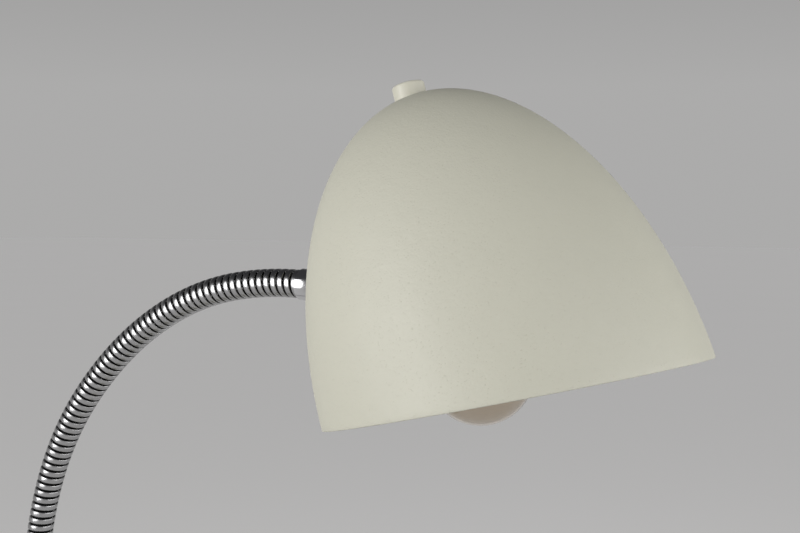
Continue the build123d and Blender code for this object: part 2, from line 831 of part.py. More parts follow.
# Centre contact: a bent brass strip from the socket's floor to the bulb's tip
with BuildPart() as centre_contact:
    with BuildSketch(holder_section):
        with BuildLine():
            FilletPolyline(
                (-contact_strip_reach, -socket_top - contact_strip_thickness / 2),
                (-solder_radius, -socket_top - contact_strip_thickness / 2),
                (-contact_strip_knee, contact_strip_thickness - bulb_top),
                (solder_radius, contact_strip_thickness - bulb_top),
                radius=contact_strip_bend,
            )
            offset(amount=contact_strip_thickness / 2, side=Side.BOTH)
        make_face()
    extrude(amount=contact_strip_width / 2, both=True)
save(centre_contact.part, "centre_contact")

# ---------------------------------------------------------------------------
# Bulb
# ---------------------------------------------------------------------------

# Solder tip and black glass insulator
with BuildPart() as bulb_contact:
    with BuildSketch(holder_level(bulb_top)):
        Circle(solder_radius)
    extrude(amount=-solder_height)
save(bulb_contact.part, "bulb_contact")

with BuildPart() as bulb_insulator:
    with BuildSketch(holder_level(insulator_depth)):
        Circle(insulator_tip_radius)
    with BuildSketch(holder_level(cap_depth)):
        Circle(cap_radius - cap_wall)
    loft()
save(bulb_insulator.part, "bulb_insulator")

# Brass screw cap with its skirt round the glass
with BuildPart() as bulb_cap:
    with BuildSketch(holder_level(cap_depth)):
        Circle(cap_radius)
    extrude(amount=-cap_length)
    with BuildSketch(holder_level(cap_foot)):
        Circle(cap_skirt_radius)
    extrude(amount=cap_skirt_height)
    with BuildSketch(holder_level(cap_depth)):
        Circle(cap_radius - cap_wall)
    extrude(amount=-cap_length, mode=Mode.SUBTRACT)
    with BuildSketch(holder_level(cap_foot)):
        Circle(glass_neck_radius + seat_gap)
    extrude(amount=cap_skirt_height - cap_wall, mode=Mode.SUBTRACT)
save(bulb_cap.part, "bulb_cap")


def bulb_envelope(shrink):
    """The bulb's solid outline, inside its outer face by shrink."""
    shoulder_reach = bulb_radius + glass_shoulder_radius
    shoulder_across = glass_neck_radius + glass_shoulder_radius
    shoulder_rise = sqrt(shoulder_reach**2 - shoulder_across**2)
    angle = degrees(asin(shoulder_rise / shoulder_reach))
    with BuildPart(mode=Mode.PRIVATE) as envelope:
        with BuildSketch(holder_section):
            with BuildLine():
                shoulder = CenterArc(
                    (shoulder_across, shoulder_rise - bulb_centre_depth),
                    glass_shoulder_radius + shrink,
                    180,
                    angle,
                )
                ball = CenterArc((0, -bulb_centre_depth), bulb_radius - shrink, angle, -90 - angle)
                Polyline(ball @ 1, (0, -glass_top), (glass_neck_radius - shrink, -glass_top), shoulder @ 0)
            make_face()
        revolve(axis=holder_axis)
    return envelope.part


# Clear glass ball, open where the stem closes its neck
with BuildPart() as bulb_glass:
    add(bulb_envelope(0))
    add(bulb_envelope(glass_wall), mode=Mode.SUBTRACT)
save(bulb_glass.part, "bulb_glass")

# Glass stem that closes the neck and carries the lead wires
with BuildPart() as bulb_stem:
    with BuildSketch(holder_level(glass_top)):
        Circle(glass_neck_radius - glass_wall - press_fit)
    extrude(amount=-stem_disc_thickness)
    with BuildSketch(holder_level(glass_top)):
        Circle(stem_rod_radius)
    extrude(amount=-stem_rod_length)
    fillet(bulb_stem.edges().sort_by(holder_axis)[0], radius=stem_rod_edge)
save(bulb_stem.part, "bulb_stem")

# Two lead wires from the stem's end, and the filament hung between them
lead_top = glass_top + stem_rod_length + seat_gap
lead_foot = lead_top + filament_drop
lead_plane = Plane(origin=crown_point, x_dir=(0, 1, 0), z_dir=holder_up.cross(Vector(0, 1, 0)) * -1)
with BuildPart() as filament:
    with BuildLine(lead_plane) as wire:
        FilletPolyline(
            (-lead_spacing / 2, -lead_top),
            (-filament_span / 2, -lead_foot),
            (0, -lead_foot - filament_sag),
            (filament_span / 2, -lead_foot),
            (lead_spacing / 2, -lead_top),
            radius=filament_bend,
        )
    with BuildSketch(Plane(origin=wire.line @ 0, z_dir=wire.line % 0)):
        Circle(lead_wire_radius)
    sweep()
save(filament.part, "filament")
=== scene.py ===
"""The finish of the gooseneck desk lamp: Blender 4.5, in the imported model's frame. Lengths
are in metres, and angles in radians unless a name or docstring says degrees."""

import json

import bpy
import numpy as np
from mathutils import Matrix, Vector

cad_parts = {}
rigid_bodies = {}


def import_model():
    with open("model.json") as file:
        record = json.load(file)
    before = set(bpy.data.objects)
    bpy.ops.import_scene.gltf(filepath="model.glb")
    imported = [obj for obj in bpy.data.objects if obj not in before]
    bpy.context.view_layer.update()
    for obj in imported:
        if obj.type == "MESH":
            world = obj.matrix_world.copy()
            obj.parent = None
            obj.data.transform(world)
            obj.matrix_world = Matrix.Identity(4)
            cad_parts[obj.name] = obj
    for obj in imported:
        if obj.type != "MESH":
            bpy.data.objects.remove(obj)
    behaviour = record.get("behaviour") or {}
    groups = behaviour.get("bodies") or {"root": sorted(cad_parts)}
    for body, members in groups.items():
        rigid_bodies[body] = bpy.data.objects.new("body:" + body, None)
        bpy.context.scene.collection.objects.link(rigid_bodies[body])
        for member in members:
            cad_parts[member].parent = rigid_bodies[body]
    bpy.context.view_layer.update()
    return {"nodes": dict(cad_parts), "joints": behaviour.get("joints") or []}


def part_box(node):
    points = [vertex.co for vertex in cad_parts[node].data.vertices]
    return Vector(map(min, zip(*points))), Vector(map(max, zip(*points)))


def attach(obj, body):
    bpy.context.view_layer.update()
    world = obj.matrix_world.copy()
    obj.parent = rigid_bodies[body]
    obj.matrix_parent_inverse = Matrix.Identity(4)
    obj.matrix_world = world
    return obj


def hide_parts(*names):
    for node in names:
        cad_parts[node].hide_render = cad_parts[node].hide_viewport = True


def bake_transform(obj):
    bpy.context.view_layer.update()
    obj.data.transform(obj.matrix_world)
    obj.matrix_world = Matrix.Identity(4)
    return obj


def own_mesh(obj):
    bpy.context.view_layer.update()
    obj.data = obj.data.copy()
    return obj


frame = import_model()

scene = bpy.context.scene

# ------------------------------------------------
# Shared functions: meshes from arrays, turned pieces, and shader nodes.

# Points round a turned piece, by its size.
LARGE_AROUND = 160
SMALL_AROUND = 96
TINY_AROUND = 64
ARC_STEPS = 6
SHARP_DEGREES = 35
# Below these a length, or the sum of two unit vectors, counts as nothing.
NO_LENGTH = 1e-9
NO_SPREAD = 1e-12
# Nearly all of a noise texture's values lie in this range.
NOISE_RANGE = (0.3, 0.7)


def lengths(vectors):
    """The length of each vector, in a shape that divides the vectors."""
    return np.linalg.norm(vectors, axis=-1, keepdims=True)


def enclosed(points, faces):
    """The volume inside a closed mesh: a sixth of the sum of a . (b x c) over its triangles."""
    triangles = [part[:, [0, k, k + 1]] for part in faces for k in range(1, part.shape[1] - 1)]
    a, b, c = np.moveaxis(points[np.concatenate(triangles)], 1, 0)
    return np.sum(a * np.cross(b, c)) / 6


def mesh_object(name, points, faces, material, angle=SHARP_DEGREES):
    """A mesh from arrays: points is (n, 3), faces is a list of (m, 3) or (m, 4) index arrays.
    It is turned outwards if it encloses less than nothing, and shaded smooth, with its edges
    sharp above an angle in degrees."""
    mesh = bpy.data.meshes.new(name)
    mesh.from_pydata(points.tolist(), [], [face for part in faces for face in part.tolist()])
    mesh.validate()
    if enclosed(points, faces) < 0:
        mesh.flip_normals()
    mesh.materials.append(material)
    mesh.shade_smooth()
    mesh.set_sharp_from_angle(angle=np.radians(angle))
    piece = bpy.data.objects.new(name, mesh)
    scene.collection.objects.link(piece)
    return piece


def grid_faces(rows, columns, loop_rows):
    """Quads over a grid of rows by columns points, numbered row by row. The last column joins
    the first, and the last row joins the first in a loop."""
    i = np.arange(rows if loop_rows else rows - 1)
    i, j = (a.ravel() for a in np.meshgrid(i, np.arange(columns), indexing="ij"))
    below, beside = (i + 1) % rows, (j + 1) % columns
    here, under = i * columns, below * columns
    return np.stack([here + j, here + beside, under + beside, under + j], axis=1)


def closed_grid(name, grid, material, loop_rows=True, angle=SHARP_DEGREES):
    """A piece from a (rows, columns, 3) grid. A first or last row whose points all meet is a
    pole: it becomes one point with triangles round it."""
    rows, columns = grid.shape[:2]
    index = np.arange(rows * columns).reshape(rows, columns)
    for row in (0, rows - 1):
        if not loop_rows and np.ptp(grid[row], axis=0).max() < NO_LENGTH:
            index[row] = index[row, 0]
    quads = index.ravel()[grid_faces(rows, columns, loop_rows)]
    top_pole = quads[:, 0] == quads[:, 1]
    foot_pole = quads[:, 2] == quads[:, 3]
    faces = [
        quads[~(top_pole | foot_pole)],
        quads[top_pole][:, [0, 2, 3]],
        quads[foot_pole][:, [0, 1, 2]],
    ]
    used, flat = np.unique(np.concatenate([part.ravel() for part in faces]), return_inverse=True)
    ends = np.cumsum([part.size for part in faces])
    faces = [flat[end - part.size : end].reshape(part.shape) for end, part in zip(ends, faces)]
    return mesh_object(name, grid.reshape(-1, 3)[used], faces, material, angle)


def axes_along(direction):
    """A direction's unit vector, and two square to it and to each other, the first nearest +Y."""
    direction = np.asarray(direction, float) / np.linalg.norm(direction)
    side = np.array([0.0, 1.0, 0.0])
    first = side - np.dot(side, direction) * direction
    first /= np.linalg.norm(first)
    return direction, first, np.cross(direction, first)


def turned_grid(profile, origin, axis, around):
    """The grid of a turned piece: each (radius, height) of the profile is carried round the
    axis as origin + height * axis + radius * (cos, sin) in the plane square to the axis."""
    along, first, second = axes_along(axis)
    radius, height = np.asarray(profile, float).T
    angle = np.linspace(0, 2 * np.pi, around, endpoint=False)
    ring = np.cos(angle)[:, None] * first + np.sin(angle)[:, None] * second
    middle = np.asarray(origin, float) + height[:, None, None] * along
    return middle + radius[:, None, None] * ring


def turned(name, profile, material, place, around=SMALL_AROUND):
    """A turned piece at a place (origin, axis). A profile that starts and ends on the axis
    makes a solid, and any other is joined end to start."""
    profile = np.asarray(profile, float)
    solid = max(profile[0, 0], profile[-1, 0]) < NO_LENGTH
    grid = turned_grid(profile, *place, around)
    return closed_grid(name, grid, material, loop_rows=not solid)


def rounded(corners, radii, steps=ARC_STEPS):
    """A path through corners, each corner replaced by an arc of its radius: the arc touches
    both legs, and its points are the corner's circle at even angles."""
    corners = np.asarray(corners, float)
    path = [corners[:1]]
    for before, corner, after, radius in zip(corners, corners[1:], corners[2:], radii):
        leg_in, leg_out = before - corner, after - corner
        leg_in, leg_out = leg_in / np.linalg.norm(leg_in), leg_out / np.linalg.norm(leg_out)
        half = np.arccos(np.clip(leg_in @ leg_out, -1, 1)) / 2
        middle = leg_in + leg_out
        middle /= max(np.linalg.norm(middle), NO_SPREAD)
        centre = corner + middle * radius / np.sin(half)
        start = corner + leg_in * radius / np.tan(half)
        end = corner + leg_out * radius / np.tan(half)
        t = np.linspace(0, 1, steps + 1)[:, None]
        turn = np.pi - 2 * half
        spokes = np.sin((1 - t) * turn) * (start - centre) + np.sin(t * turn) * (end - centre)
        path.append(centre + spokes / np.sin(turn))
    path.append(corners[-1:])
    return np.concatenate(path)


def offset_path(path, distance):
    """The path moved to its left by a distance, along the mean of its legs' normals."""
    leg = np.gradient(path, axis=0)
    leg /= lengths(leg)
    return path + distance * np.stack([-leg[:, 1], leg[:, 0]], axis=1)


def set_inputs(node, **values):
    """Sets a node's inputs by their names, with "_" for a space."""
    for label, value in values.items():
        node.inputs[label.replace("_", " ")].default_value = value


def value_noise(tree, cells, detail=2.0, roughness=0.5, stretch=(1, 1, 1)):
    """A noise texture on Object coordinates, in cells per metre, stretched along the axes."""
    nodes, links = tree.nodes, tree.links
    coordinates = nodes.new("ShaderNodeTexCoord")
    mapping = nodes.new("ShaderNodeMapping")
    set_inputs(mapping, Scale=stretch)
    noise = nodes.new("ShaderNodeTexNoise")
    set_inputs(noise, Scale=cells, Detail=detail, Roughness=roughness)
    links.new(coordinates.outputs["Object"], mapping.inputs["Vector"])
    links.new(mapping.outputs["Vector"], noise.inputs["Vector"])
    return noise.outputs["Fac"]


def feed(tree, socket, value):
    """Gives an input another node's output, a number or an (r, g, b)."""
    if isinstance(value, bpy.types.NodeSocket):
        tree.links.new(value, socket)
    else:
        socket.default_value = (*value, 1.0) if isinstance(value, tuple) else value


def math_node(tree, operation, first, second):
    """A Math node on two sockets or numbers; its result."""
    node = tree.nodes.new("ShaderNodeMath")
    node.operation = operation
    feed(tree, node.inputs[0], first)
    feed(tree, node.inputs[1], second)
    return node.outputs[0]


def ramp(tree, value, low, high, to_low=0.0, to_high=1.0):
    """Maps value from low..high to to_low..to_high, without passing the ends."""
    node = tree.nodes.new("ShaderNodeMapRange")
    set_inputs(node, From_Min=low, From_Max=high, To_Min=to_low, To_Max=to_high)
    tree.links.new(value, node.inputs["Value"])
    return node.outputs["Result"]


def mix_colour(tree, factor, first, second):
    """Mixes two colours, each a socket or an (r, g, b), by a factor."""
    node = tree.nodes.new("ShaderNodeMix")
    node.data_type = "RGBA"
    for label, value in {"Factor": factor, "A": first, "B": second}.items():
        feed(tree, node.inputs[label], value)
    return node.outputs["Result"]


def duller(colour, share):
    """A colour with each channel cut to a share of it."""
    return tuple(channel * share for channel in colour)


def effect_group(name, inputs, outputs, build):
    """A shader node group of numbers: inputs are names with numbers, outputs are names, and
    build(tree, inputs) gives the outputs' sockets in order."""
    tree = bpy.data.node_groups.new(name, "ShaderNodeTree")
    for label, number in inputs.items():
        socket = tree.interface.new_socket(label, in_out="INPUT", socket_type="NodeSocketFloat")
        socket.default_value = number
    for label in outputs:
        tree.interface.new_socket(label, in_out="OUTPUT", socket_type="NodeSocketFloat")
    entry, leave = tree.nodes.new("NodeGroupInput"), tree.nodes.new("NodeGroupOutput")
    for socket, result in zip(leave.inputs, build(tree, entry.outputs)):
        tree.links.new(result, socket)
    return tree


def use_group(tree, group, **values):
    """Places a group in a material and sets its inputs; its outputs."""
    node = tree.nodes.new("ShaderNodeGroup")
    node.node_tree = group
    set_inputs(node, **values)
    return node.outputs


def new_material(name, colour, roughness, metallic=0.0, **sockets):
    """A material with one Principled BSDF, and its tree and shader."""
    material = bpy.data.materials.new(name)
    material.use_nodes = True
    tree = material.node_tree
    shader = tree.nodes["Principled BSDF"]
    colour = (*colour, 1.0)
    set_inputs(shader, Base_Color=colour, Roughness=roughness, Metallic=metallic, **sockets)
    return material, tree, shader


def mottle(tree, shader, factor, first, second):
    """Colours the shader with a mix of two colours by a factor."""
    tree.links.new(mix_colour(tree, factor, first, second), shader.inputs["Base Color"])


def roughen(tree, shader, noise, low, high, noise_range=NOISE_RANGE):
    """Takes the shader's roughness from low to high as a noise goes through a range."""
    tree.links.new(ramp(tree, noise, *noise_range, low, high), shader.inputs["Roughness"])


def add_bump(tree, shader, height, distance, strength):
    """Feeds a height through a Bump node to the shader's normal."""
    bump = tree.nodes.new("ShaderNodeBump")
    set_inputs(bump, Distance=distance, Strength=strength)
    tree.links.new(height, bump.inputs["Height"])
    tree.links.new(bump.outputs["Normal"], shader.inputs["Normal"])


# ------------------------------------------------
# Base cover: one steel pressing with a straight side, a rounded shoulder and a
# low dome. It is stoved with a cream satin lacquer that dries with a fine
# orange peel, and its bottom edge is dressed smooth.

COVER_RADIUS = 0.080
COVER_FOOT = 0.002
COVER_SHOULDER = 0.017
COVER_CROWN = 0.028
COVER_LAND = 0.014
STEM_HOLE = 0.0054
COVER_BULGE = 0.0025
COVER_BEND = 0.005
COVER_WALL = 0.0012
CORNER_LIFT = 0.0007
DOME_POINTS = 40
DOME_JOIN = 3  # the dome's point at which the shoulder's arc may end

CREAM = (0.60, 0.59, 0.495)
DULL_CREAM = duller(CREAM, 0.93)


def build_peel(tree, inputs):
    """Orange peel: small round cells on a slower swell, and a mask of fine dust nibs."""
    cells = value_noise(tree, cells=900, detail=1.5)
    swell = value_noise(tree, cells=260, detail=1.0)
    height = math_node(tree, "ADD", cells, math_node(tree, "MULTIPLY", swell, inputs["Swell"]))
    nibs = ramp(tree, value_noise(tree, cells=1500, detail=0.0), 0.72, 0.80)
    patches = value_noise(tree, cells=18, detail=3.0, roughness=0.6)
    return height, nibs, patches


peel = effect_group("orange_peel", {"Swell": 1.0}, ["Height", "Nibs", "Patches"], build_peel)

cream_lacquer, tree, shader = new_material(
    "cream_lacquer", CREAM, roughness=0.42, Coat_Weight=0.04, Coat_Roughness=0.4
)
height, nibs, patches = use_group(tree, peel, Swell=1.2)
mottle(tree, shader, ramp(tree, patches, 0.35, 0.65, to_high=0.35), CREAM, DULL_CREAM)
roughen(tree, shader, patches, 0.50, 0.58)
add_bump(tree, shader, math_node(tree, "ADD", height, nibs), distance=0.00015, strength=0.7)

chord = np.array([[COVER_RADIUS, COVER_SHOULDER], [COVER_LAND, COVER_CROWN]])
t = np.linspace(0, 1, DOME_POINTS)[:, None]
lift = np.array([chord[0, 1] - chord[1, 1], chord[1, 0] - chord[0, 0]])
lift *= -1 / np.linalg.norm(lift)
dome = chord[0] + t * (chord[1] - chord[0]) + 4 * COVER_BULGE * t * (1 - t) * lift
side_corners = [(COVER_RADIUS, COVER_FOOT), chord[0] + (0, CORNER_LIFT), dome[DOME_JOIN]]
side = rounded(side_corners, [COVER_BEND], steps=10)
outside = np.concatenate([side[:-1], dome[DOME_JOIN:], [(STEM_HOLE, COVER_CROWN)]])
inside = offset_path(outside, COVER_WALL)
inside[0] = (COVER_RADIUS - COVER_WALL, COVER_FOOT)
inside[-1] = (STEM_HOLE, COVER_CROWN - COVER_WALL)
cover_profile = np.concatenate([outside, inside[::-1]])
upright = ((0, 0, 0), (0, 0, 1))
base_cover = turned("base_cover_pressing", cover_profile, cream_lacquer, upright, LARGE_AROUND)
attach(base_cover, "base")
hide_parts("base_cover")

# ------------------------------------------------
# Under the base: an iron casting for weight, a zinc-plated plate held by pan
# screws, a pressed felt pad glued to the plate, and the cord's clamp bar and
# earth screw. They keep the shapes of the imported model.

ZINC = (0.50, 0.50, 0.49)
BLUE_SPANGLE = (0.46, 0.47, 0.48)
YELLOW_SPANGLE = (0.56, 0.55, 0.52)
IRON = (0.035, 0.035, 0.037)
RUST = (0.10, 0.045, 0.025)
FELT = (0.016, 0.019, 0.017)
LINT = (0.05, 0.055, 0.05)
BRASS = (0.74, 0.50, 0.20)
TARNISH = (0.26, 0.15, 0.07)
FINE_SCRATCH = 0.00001
SCRATCH = 0.00002
DEEP_SCRATCH = 0.00003
SCRATCH_STRENGTH = 0.35


def build_scuffs(tree, inputs):
    """Fine scratches and smudges on bare metal: long thin noise, and slow patches."""
    lines = value_noise(tree, cells=420, detail=3.0, stretch=(1, 1, 14))
    cross = value_noise(tree, cells=380, detail=3.0, stretch=(12, 1, 1))
    lines, cross = ramp(tree, lines, 0.62, 0.75), ramp(tree, cross, 0.64, 0.76)
    smudges = value_noise(tree, cells=60, detail=3.0, roughness=0.6)
    smudges = math_node(tree, "MULTIPLY", smudges, inputs["Smudge"])
    rough = math_node(tree, "ADD", inputs["Base"], smudges)
    return math_node(tree, "MAXIMUM", lines, cross), rough


scuffs = effect_group(
    "metal_scuffs", {"Base": 0.2, "Smudge": 0.1}, ["Scratches", "Roughness"], build_scuffs
)


def metal(name, colour, base, smudge, depth, spots=None):
    """A metal with smudged roughness and scratches cut to a depth in metres. Its colour is
    mixed as (factor, first, second) = spots(tree) if that is given."""
    material, tree, shader = new_material(name, colour, base, metallic=1.0)
    scratches, rough = use_group(tree, scuffs, Base=base, Smudge=smudge)
    tree.links.new(rough, shader.inputs["Roughness"])
    add_bump(tree, shader, scratches, depth, SCRATCH_STRENGTH)
    if spots:
        mottle(tree, shader, *spots(tree))
    return material


def finish_nodes(material, *names):
    """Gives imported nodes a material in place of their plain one."""
    for name in names:
        for slot in frame["nodes"][name].material_slots:
            slot.link = "OBJECT"
            slot.material = material


def spangles(tree):
    """The plating's spangles, bluish and yellowish."""
    spangle = ramp(tree, value_noise(tree, cells=700, detail=0.0), 0.4, 0.6)
    return spangle, BLUE_SPANGLE, YELLOW_SPANGLE


zinc_steel = metal("zinc_steel", ZINC, base=0.30, smudge=0.16, depth=SCRATCH, spots=spangles)
finish_nodes(zinc_steel, "base_plate", "plate_screws", "cord_clamp", "clamp_screws")

cast_iron, tree, shader = new_material("cast_iron", IRON, roughness=0.62, metallic=0.25)
grit = value_noise(tree, cells=1100, detail=3.0)
rust = ramp(tree, value_noise(tree, cells=90, detail=4.0, roughness=0.7), 0.60, 0.72)
mottle(tree, shader, rust, IRON, RUST)
add_bump(tree, shader, grit, distance=0.0003, strength=0.8)
finish_nodes(cast_iron, "base_weight")

felt, tree, shader = new_material(
    "felt", FELT, roughness=0.95, Sheen_Weight=0.35, Sheen_Roughness=0.6
)
fibres = value_noise(tree, cells=2200, detail=3.0, stretch=(1, 3, 1))
lint = ramp(tree, value_noise(tree, cells=900), 0.55, 0.8)
mottle(tree, shader, lint, FELT, LINT)
add_bump(tree, shader, fibres, distance=0.0005, strength=0.9)
finish_nodes(felt, "base_pad")


def bare_brass(name, colour):
    """Brass with brown tarnish in slow patches."""

    def tarnished(tree):
        patches = value_noise(tree, cells=140, detail=4.0, roughness=0.65)
        return ramp(tree, patches, 0.48, 0.72, to_high=0.7), colour, TARNISH

    return metal(name, colour, base=0.24, smudge=0.16, depth=SCRATCH, spots=tarnished)


brass = bare_brass("brass", BRASS)
finish_nodes(brass, "earth_screw")

# ------------------------------------------------
# Cord bush: black rubber, moulded in one with two flanges that grip the wall,
# and a lead-in radius round the bore.

BUSH_HEIGHT = 0.0086
BUSH_FLANGE_RADIUS = 0.0048
BUSH_FLANGE = 0.0015
BUSH_NECK_RADIUS = 0.0038
BUSH_GRIP = 0.0015
BUSH_BORE = 0.0028
RUBBER = (0.018, 0.018, 0.018)
BLOOM = (0.034, 0.034, 0.034)

rubber, tree, shader = new_material("black_rubber", RUBBER, roughness=0.66)
bloom = ramp(tree, value_noise(tree, cells=240, detail=3.0, roughness=0.6), 0.45, 0.75)
mottle(tree, shader, bloom, RUBBER, BLOOM)
pores = value_noise(tree, cells=2600)
add_bump(tree, shader, pores, distance=0.0001, strength=0.5)

bush_inner = -BUSH_GRIP - BUSH_FLANGE
bush_corners = [
    (BUSH_BORE, bush_inner / 2),
    (BUSH_BORE, bush_inner),
    (BUSH_FLANGE_RADIUS, bush_inner),
    (BUSH_FLANGE_RADIUS, -BUSH_GRIP),
    (BUSH_NECK_RADIUS, -BUSH_GRIP),
    (BUSH_NECK_RADIUS, 0),
    (BUSH_FLANGE_RADIUS, 0),
    (BUSH_FLANGE_RADIUS, BUSH_FLANGE),
    (BUSH_BORE, BUSH_FLANGE),
    (BUSH_BORE, BUSH_FLANGE / 2),
]
bush_radii = [0.0003, 0.0004, 0.0004, 0.0001, 0.0001, 0.0004, 0.0006, 0.0006]
cord_bush = turned(
    "cord_bush_moulding",
    rounded(bush_corners, bush_radii),
    rubber,
    ((-COVER_RADIUS, 0, BUSH_HEIGHT), (-1, 0, 0)),
    around=TINY_AROUND,
)
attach(cord_bush, "base")
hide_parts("cord_bush")

# ------------------------------------------------
# Gooseneck: a flat steel strip wound right-handed over a round spring wire and
# chromed. The strip's windings slide on the wire, so it bends and stays put.
# Nine lengths each cross one joint, from the middle of a link to the next, and a
# shorter length at each end stays on one body.

NECK_RADIUS = 0.00635
COIL_PITCH = 0.00372
STRIP_WIDTH = 0.00268
STRIP_DEPTH = 0.00110
STRIP_CORNER = 0.00038
STRIP_CROWN = 0.00006
STRIP_EDGE = 0.0001
STRIP_FOOT = 0.55
WIRE_RADIUS = 0.00105
WIRE_DEPTH = 0.00075
WIRE_SIDES = 10
WIRE_DEGREES = 60
STRIP_DEGREES = 50
SAMPLES_A_TURN = 44
LAST_BEND = np.radians(13.3)  # the last link's, which no joint after it gives
STRIP_CHROME = (0.40, 0.40, 0.405)
# The wire's near-black colour is painted shade, for the deep grooves between the strip's windings.
WIRE_PAINTED_SHADE = (0.012, 0.012, 0.012)

hinges = [joint for joint in frame["joints"] if joint["name"].startswith("neck_")]
neck_bodies = [hinges[0]["parent"]] + [joint["child"] for joint in hinges]
neck_foot = (0.0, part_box("neck_link_01")[0].z)
link_starts = np.array([neck_foot] + [(joint["pos_m"][0], joint["pos_m"][2]) for joint in hinges])
LINK = link_starts[1, 1] - link_starts[0, 1]
steps = np.diff(link_starts, axis=0)
chord_headings = np.arctan2(steps[:, 1], steps[:, 0])
link_headings = [np.pi / 2]
for chord_heading in chord_headings:
    link_headings.append(2 * chord_heading - link_headings[-1])
link_headings = np.array(link_headings)
link_bends = np.append(-np.diff(link_headings), LAST_BEND)
NECK_LENGTH = LINK * len(link_starts)


def neck_line(along):
    """The neck's centreline: each link is an arc, so a point at u along it lies at the chord
    u * sin(a) / a from its start, where a is half the turn up to u. Gives points and headings."""
    along = np.asarray(along, float)
    link = np.clip((along // LINK).astype(int), 0, len(link_starts) - 1)
    u = np.clip(along, 0, NECK_LENGTH) - link * LINK
    past = along - np.clip(along, 0, NECK_LENGTH)
    turn = link_bends[link] * u / LINK
    chord = u * np.sinc(turn / 2 / np.pi)
    middle, heading = link_headings[link] - turn / 2, link_headings[link] - turn
    x = link_starts[link, 0] + chord * np.cos(middle) + past * np.cos(heading)
    z = link_starts[link, 1] + chord * np.sin(middle) + past * np.sin(heading)
    return np.stack([x, np.zeros_like(x), z], axis=-1), heading


def capped_tube(name, grid, material, angle):
    """A closed tube from a (rows, columns, 3) grid whose columns go round: each end is a fan
    of triangles about the middle of its ring."""
    ends = [grid[:1].mean(axis=1, keepdims=True), grid[-1:].mean(axis=1, keepdims=True)]
    first, last = (np.repeat(end, grid.shape[1], axis=1) for end in ends)
    grid = np.concatenate([first, grid, last])
    return closed_grid(name, grid, material, loop_rows=False, angle=angle)


def wound(name, section, start, end, offset, material, angle):
    """A strip or wire wound right-handed round the neck: each (along, radius) point of its
    section turns once a pitch, and is carried along the bent centreline square to it."""
    samples = int(np.ceil((end - start) / COIL_PITCH * SAMPLES_A_TURN))
    along = np.linspace(start, end, samples + 1)
    phase = 2 * np.pi * along[:, None, None] / COIL_PITCH
    centre, heading = neck_line(along[:, None] + offset + section[None, :, 0])
    upper = np.stack([-np.sin(heading), np.zeros_like(heading), np.cos(heading)], axis=-1)
    spoke = np.cos(phase) * upper - np.sin(phase) * np.array([0, 1, 0])
    return capped_tube(name, centre + section[None, :, 1, None] * spoke, material, angle)


half = STRIP_WIDTH / 2
strip_corners = [
    (0, NECK_RADIUS),
    (half, NECK_RADIUS - STRIP_CROWN),
    (half, NECK_RADIUS - STRIP_DEPTH / 2),
    (half * STRIP_FOOT, NECK_RADIUS - STRIP_DEPTH),
    (-half * STRIP_FOOT, NECK_RADIUS - STRIP_DEPTH),
    (-half, NECK_RADIUS - STRIP_DEPTH / 2),
    (-half, NECK_RADIUS - STRIP_CROWN),
    (0, NECK_RADIUS),
]
strip_radii = [STRIP_CORNER] + [STRIP_EDGE] * 4 + [STRIP_CORNER]
strip_section = rounded(strip_corners, strip_radii, steps=3)[:-1]
wire_angle = np.linspace(0, -2 * np.pi, WIRE_SIDES, endpoint=False)
wire_section = WIRE_RADIUS * np.stack([np.cos(wire_angle), np.sin(wire_angle)], axis=1)
wire_section[:, 1] += NECK_RADIUS - WIRE_DEPTH - WIRE_RADIUS

chrome = metal("chrome_strip", STRIP_CHROME, base=0.22, smudge=0.10, depth=FINE_SCRATCH)
# The wire's material is darkened to paint the shade in the neck's grooves.
wire_steel = metal("wire_painted_shade", WIRE_PAINTED_SHADE, base=0.60, smudge=0.12, depth=FINE_SCRATCH)

coil_ends = [-LINK / 4] + [(k + 0.5) * LINK for k in range(len(link_starts))] + [NECK_LENGTH]
for k, (start, end) in enumerate(zip(coil_ends, coil_ends[1:])):
    strip = wound(f"neck_strip_{k:02d}", strip_section, start, end, 0, chrome, STRIP_DEGREES)
    wire = wound(
        f"neck_wire_{k:02d}", wire_section, start, end, COIL_PITCH / 2, wire_steel, WIRE_DEGREES
    )
    for piece in (strip, wire):
        if 0 < k < len(link_starts):
            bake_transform(piece)
        else:
            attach(piece, neck_bodies[0 if k == 0 else -1])
    if k < len(link_starts):
        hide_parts(f"neck_link_{k + 1:02d}")

# ------------------------------------------------
# Ferrules: two brass trumpets, spun and chromed, that cover the ends of the
# wound tube. The floor of each is clamped under the end fitting's shoulder.

FITTING_BODY = 0.0145
FERRULE_LENGTH = 0.0170
FERRULE_MOUTH = 0.00695
FERRULE_BORE = 0.00655
FERRULE_LIP = 0.0015
FERRULE_RADIUS = 0.0110
FERRULE_FLOOR = 0.0018
FLARE_POINTS = 24
MOUTH_LEG = 0.0005
MOUTH_EDGE = 0.00015
LIP_EDGE = 0.0004
SHADE_GAP = 0.0001
POLISHED_CHROME = (0.60, 0.60, 0.61)

neck_end, end_heading = neck_line(NECK_LENGTH)
neck_way = np.array([np.cos(end_heading), 0.0, np.sin(end_heading)])

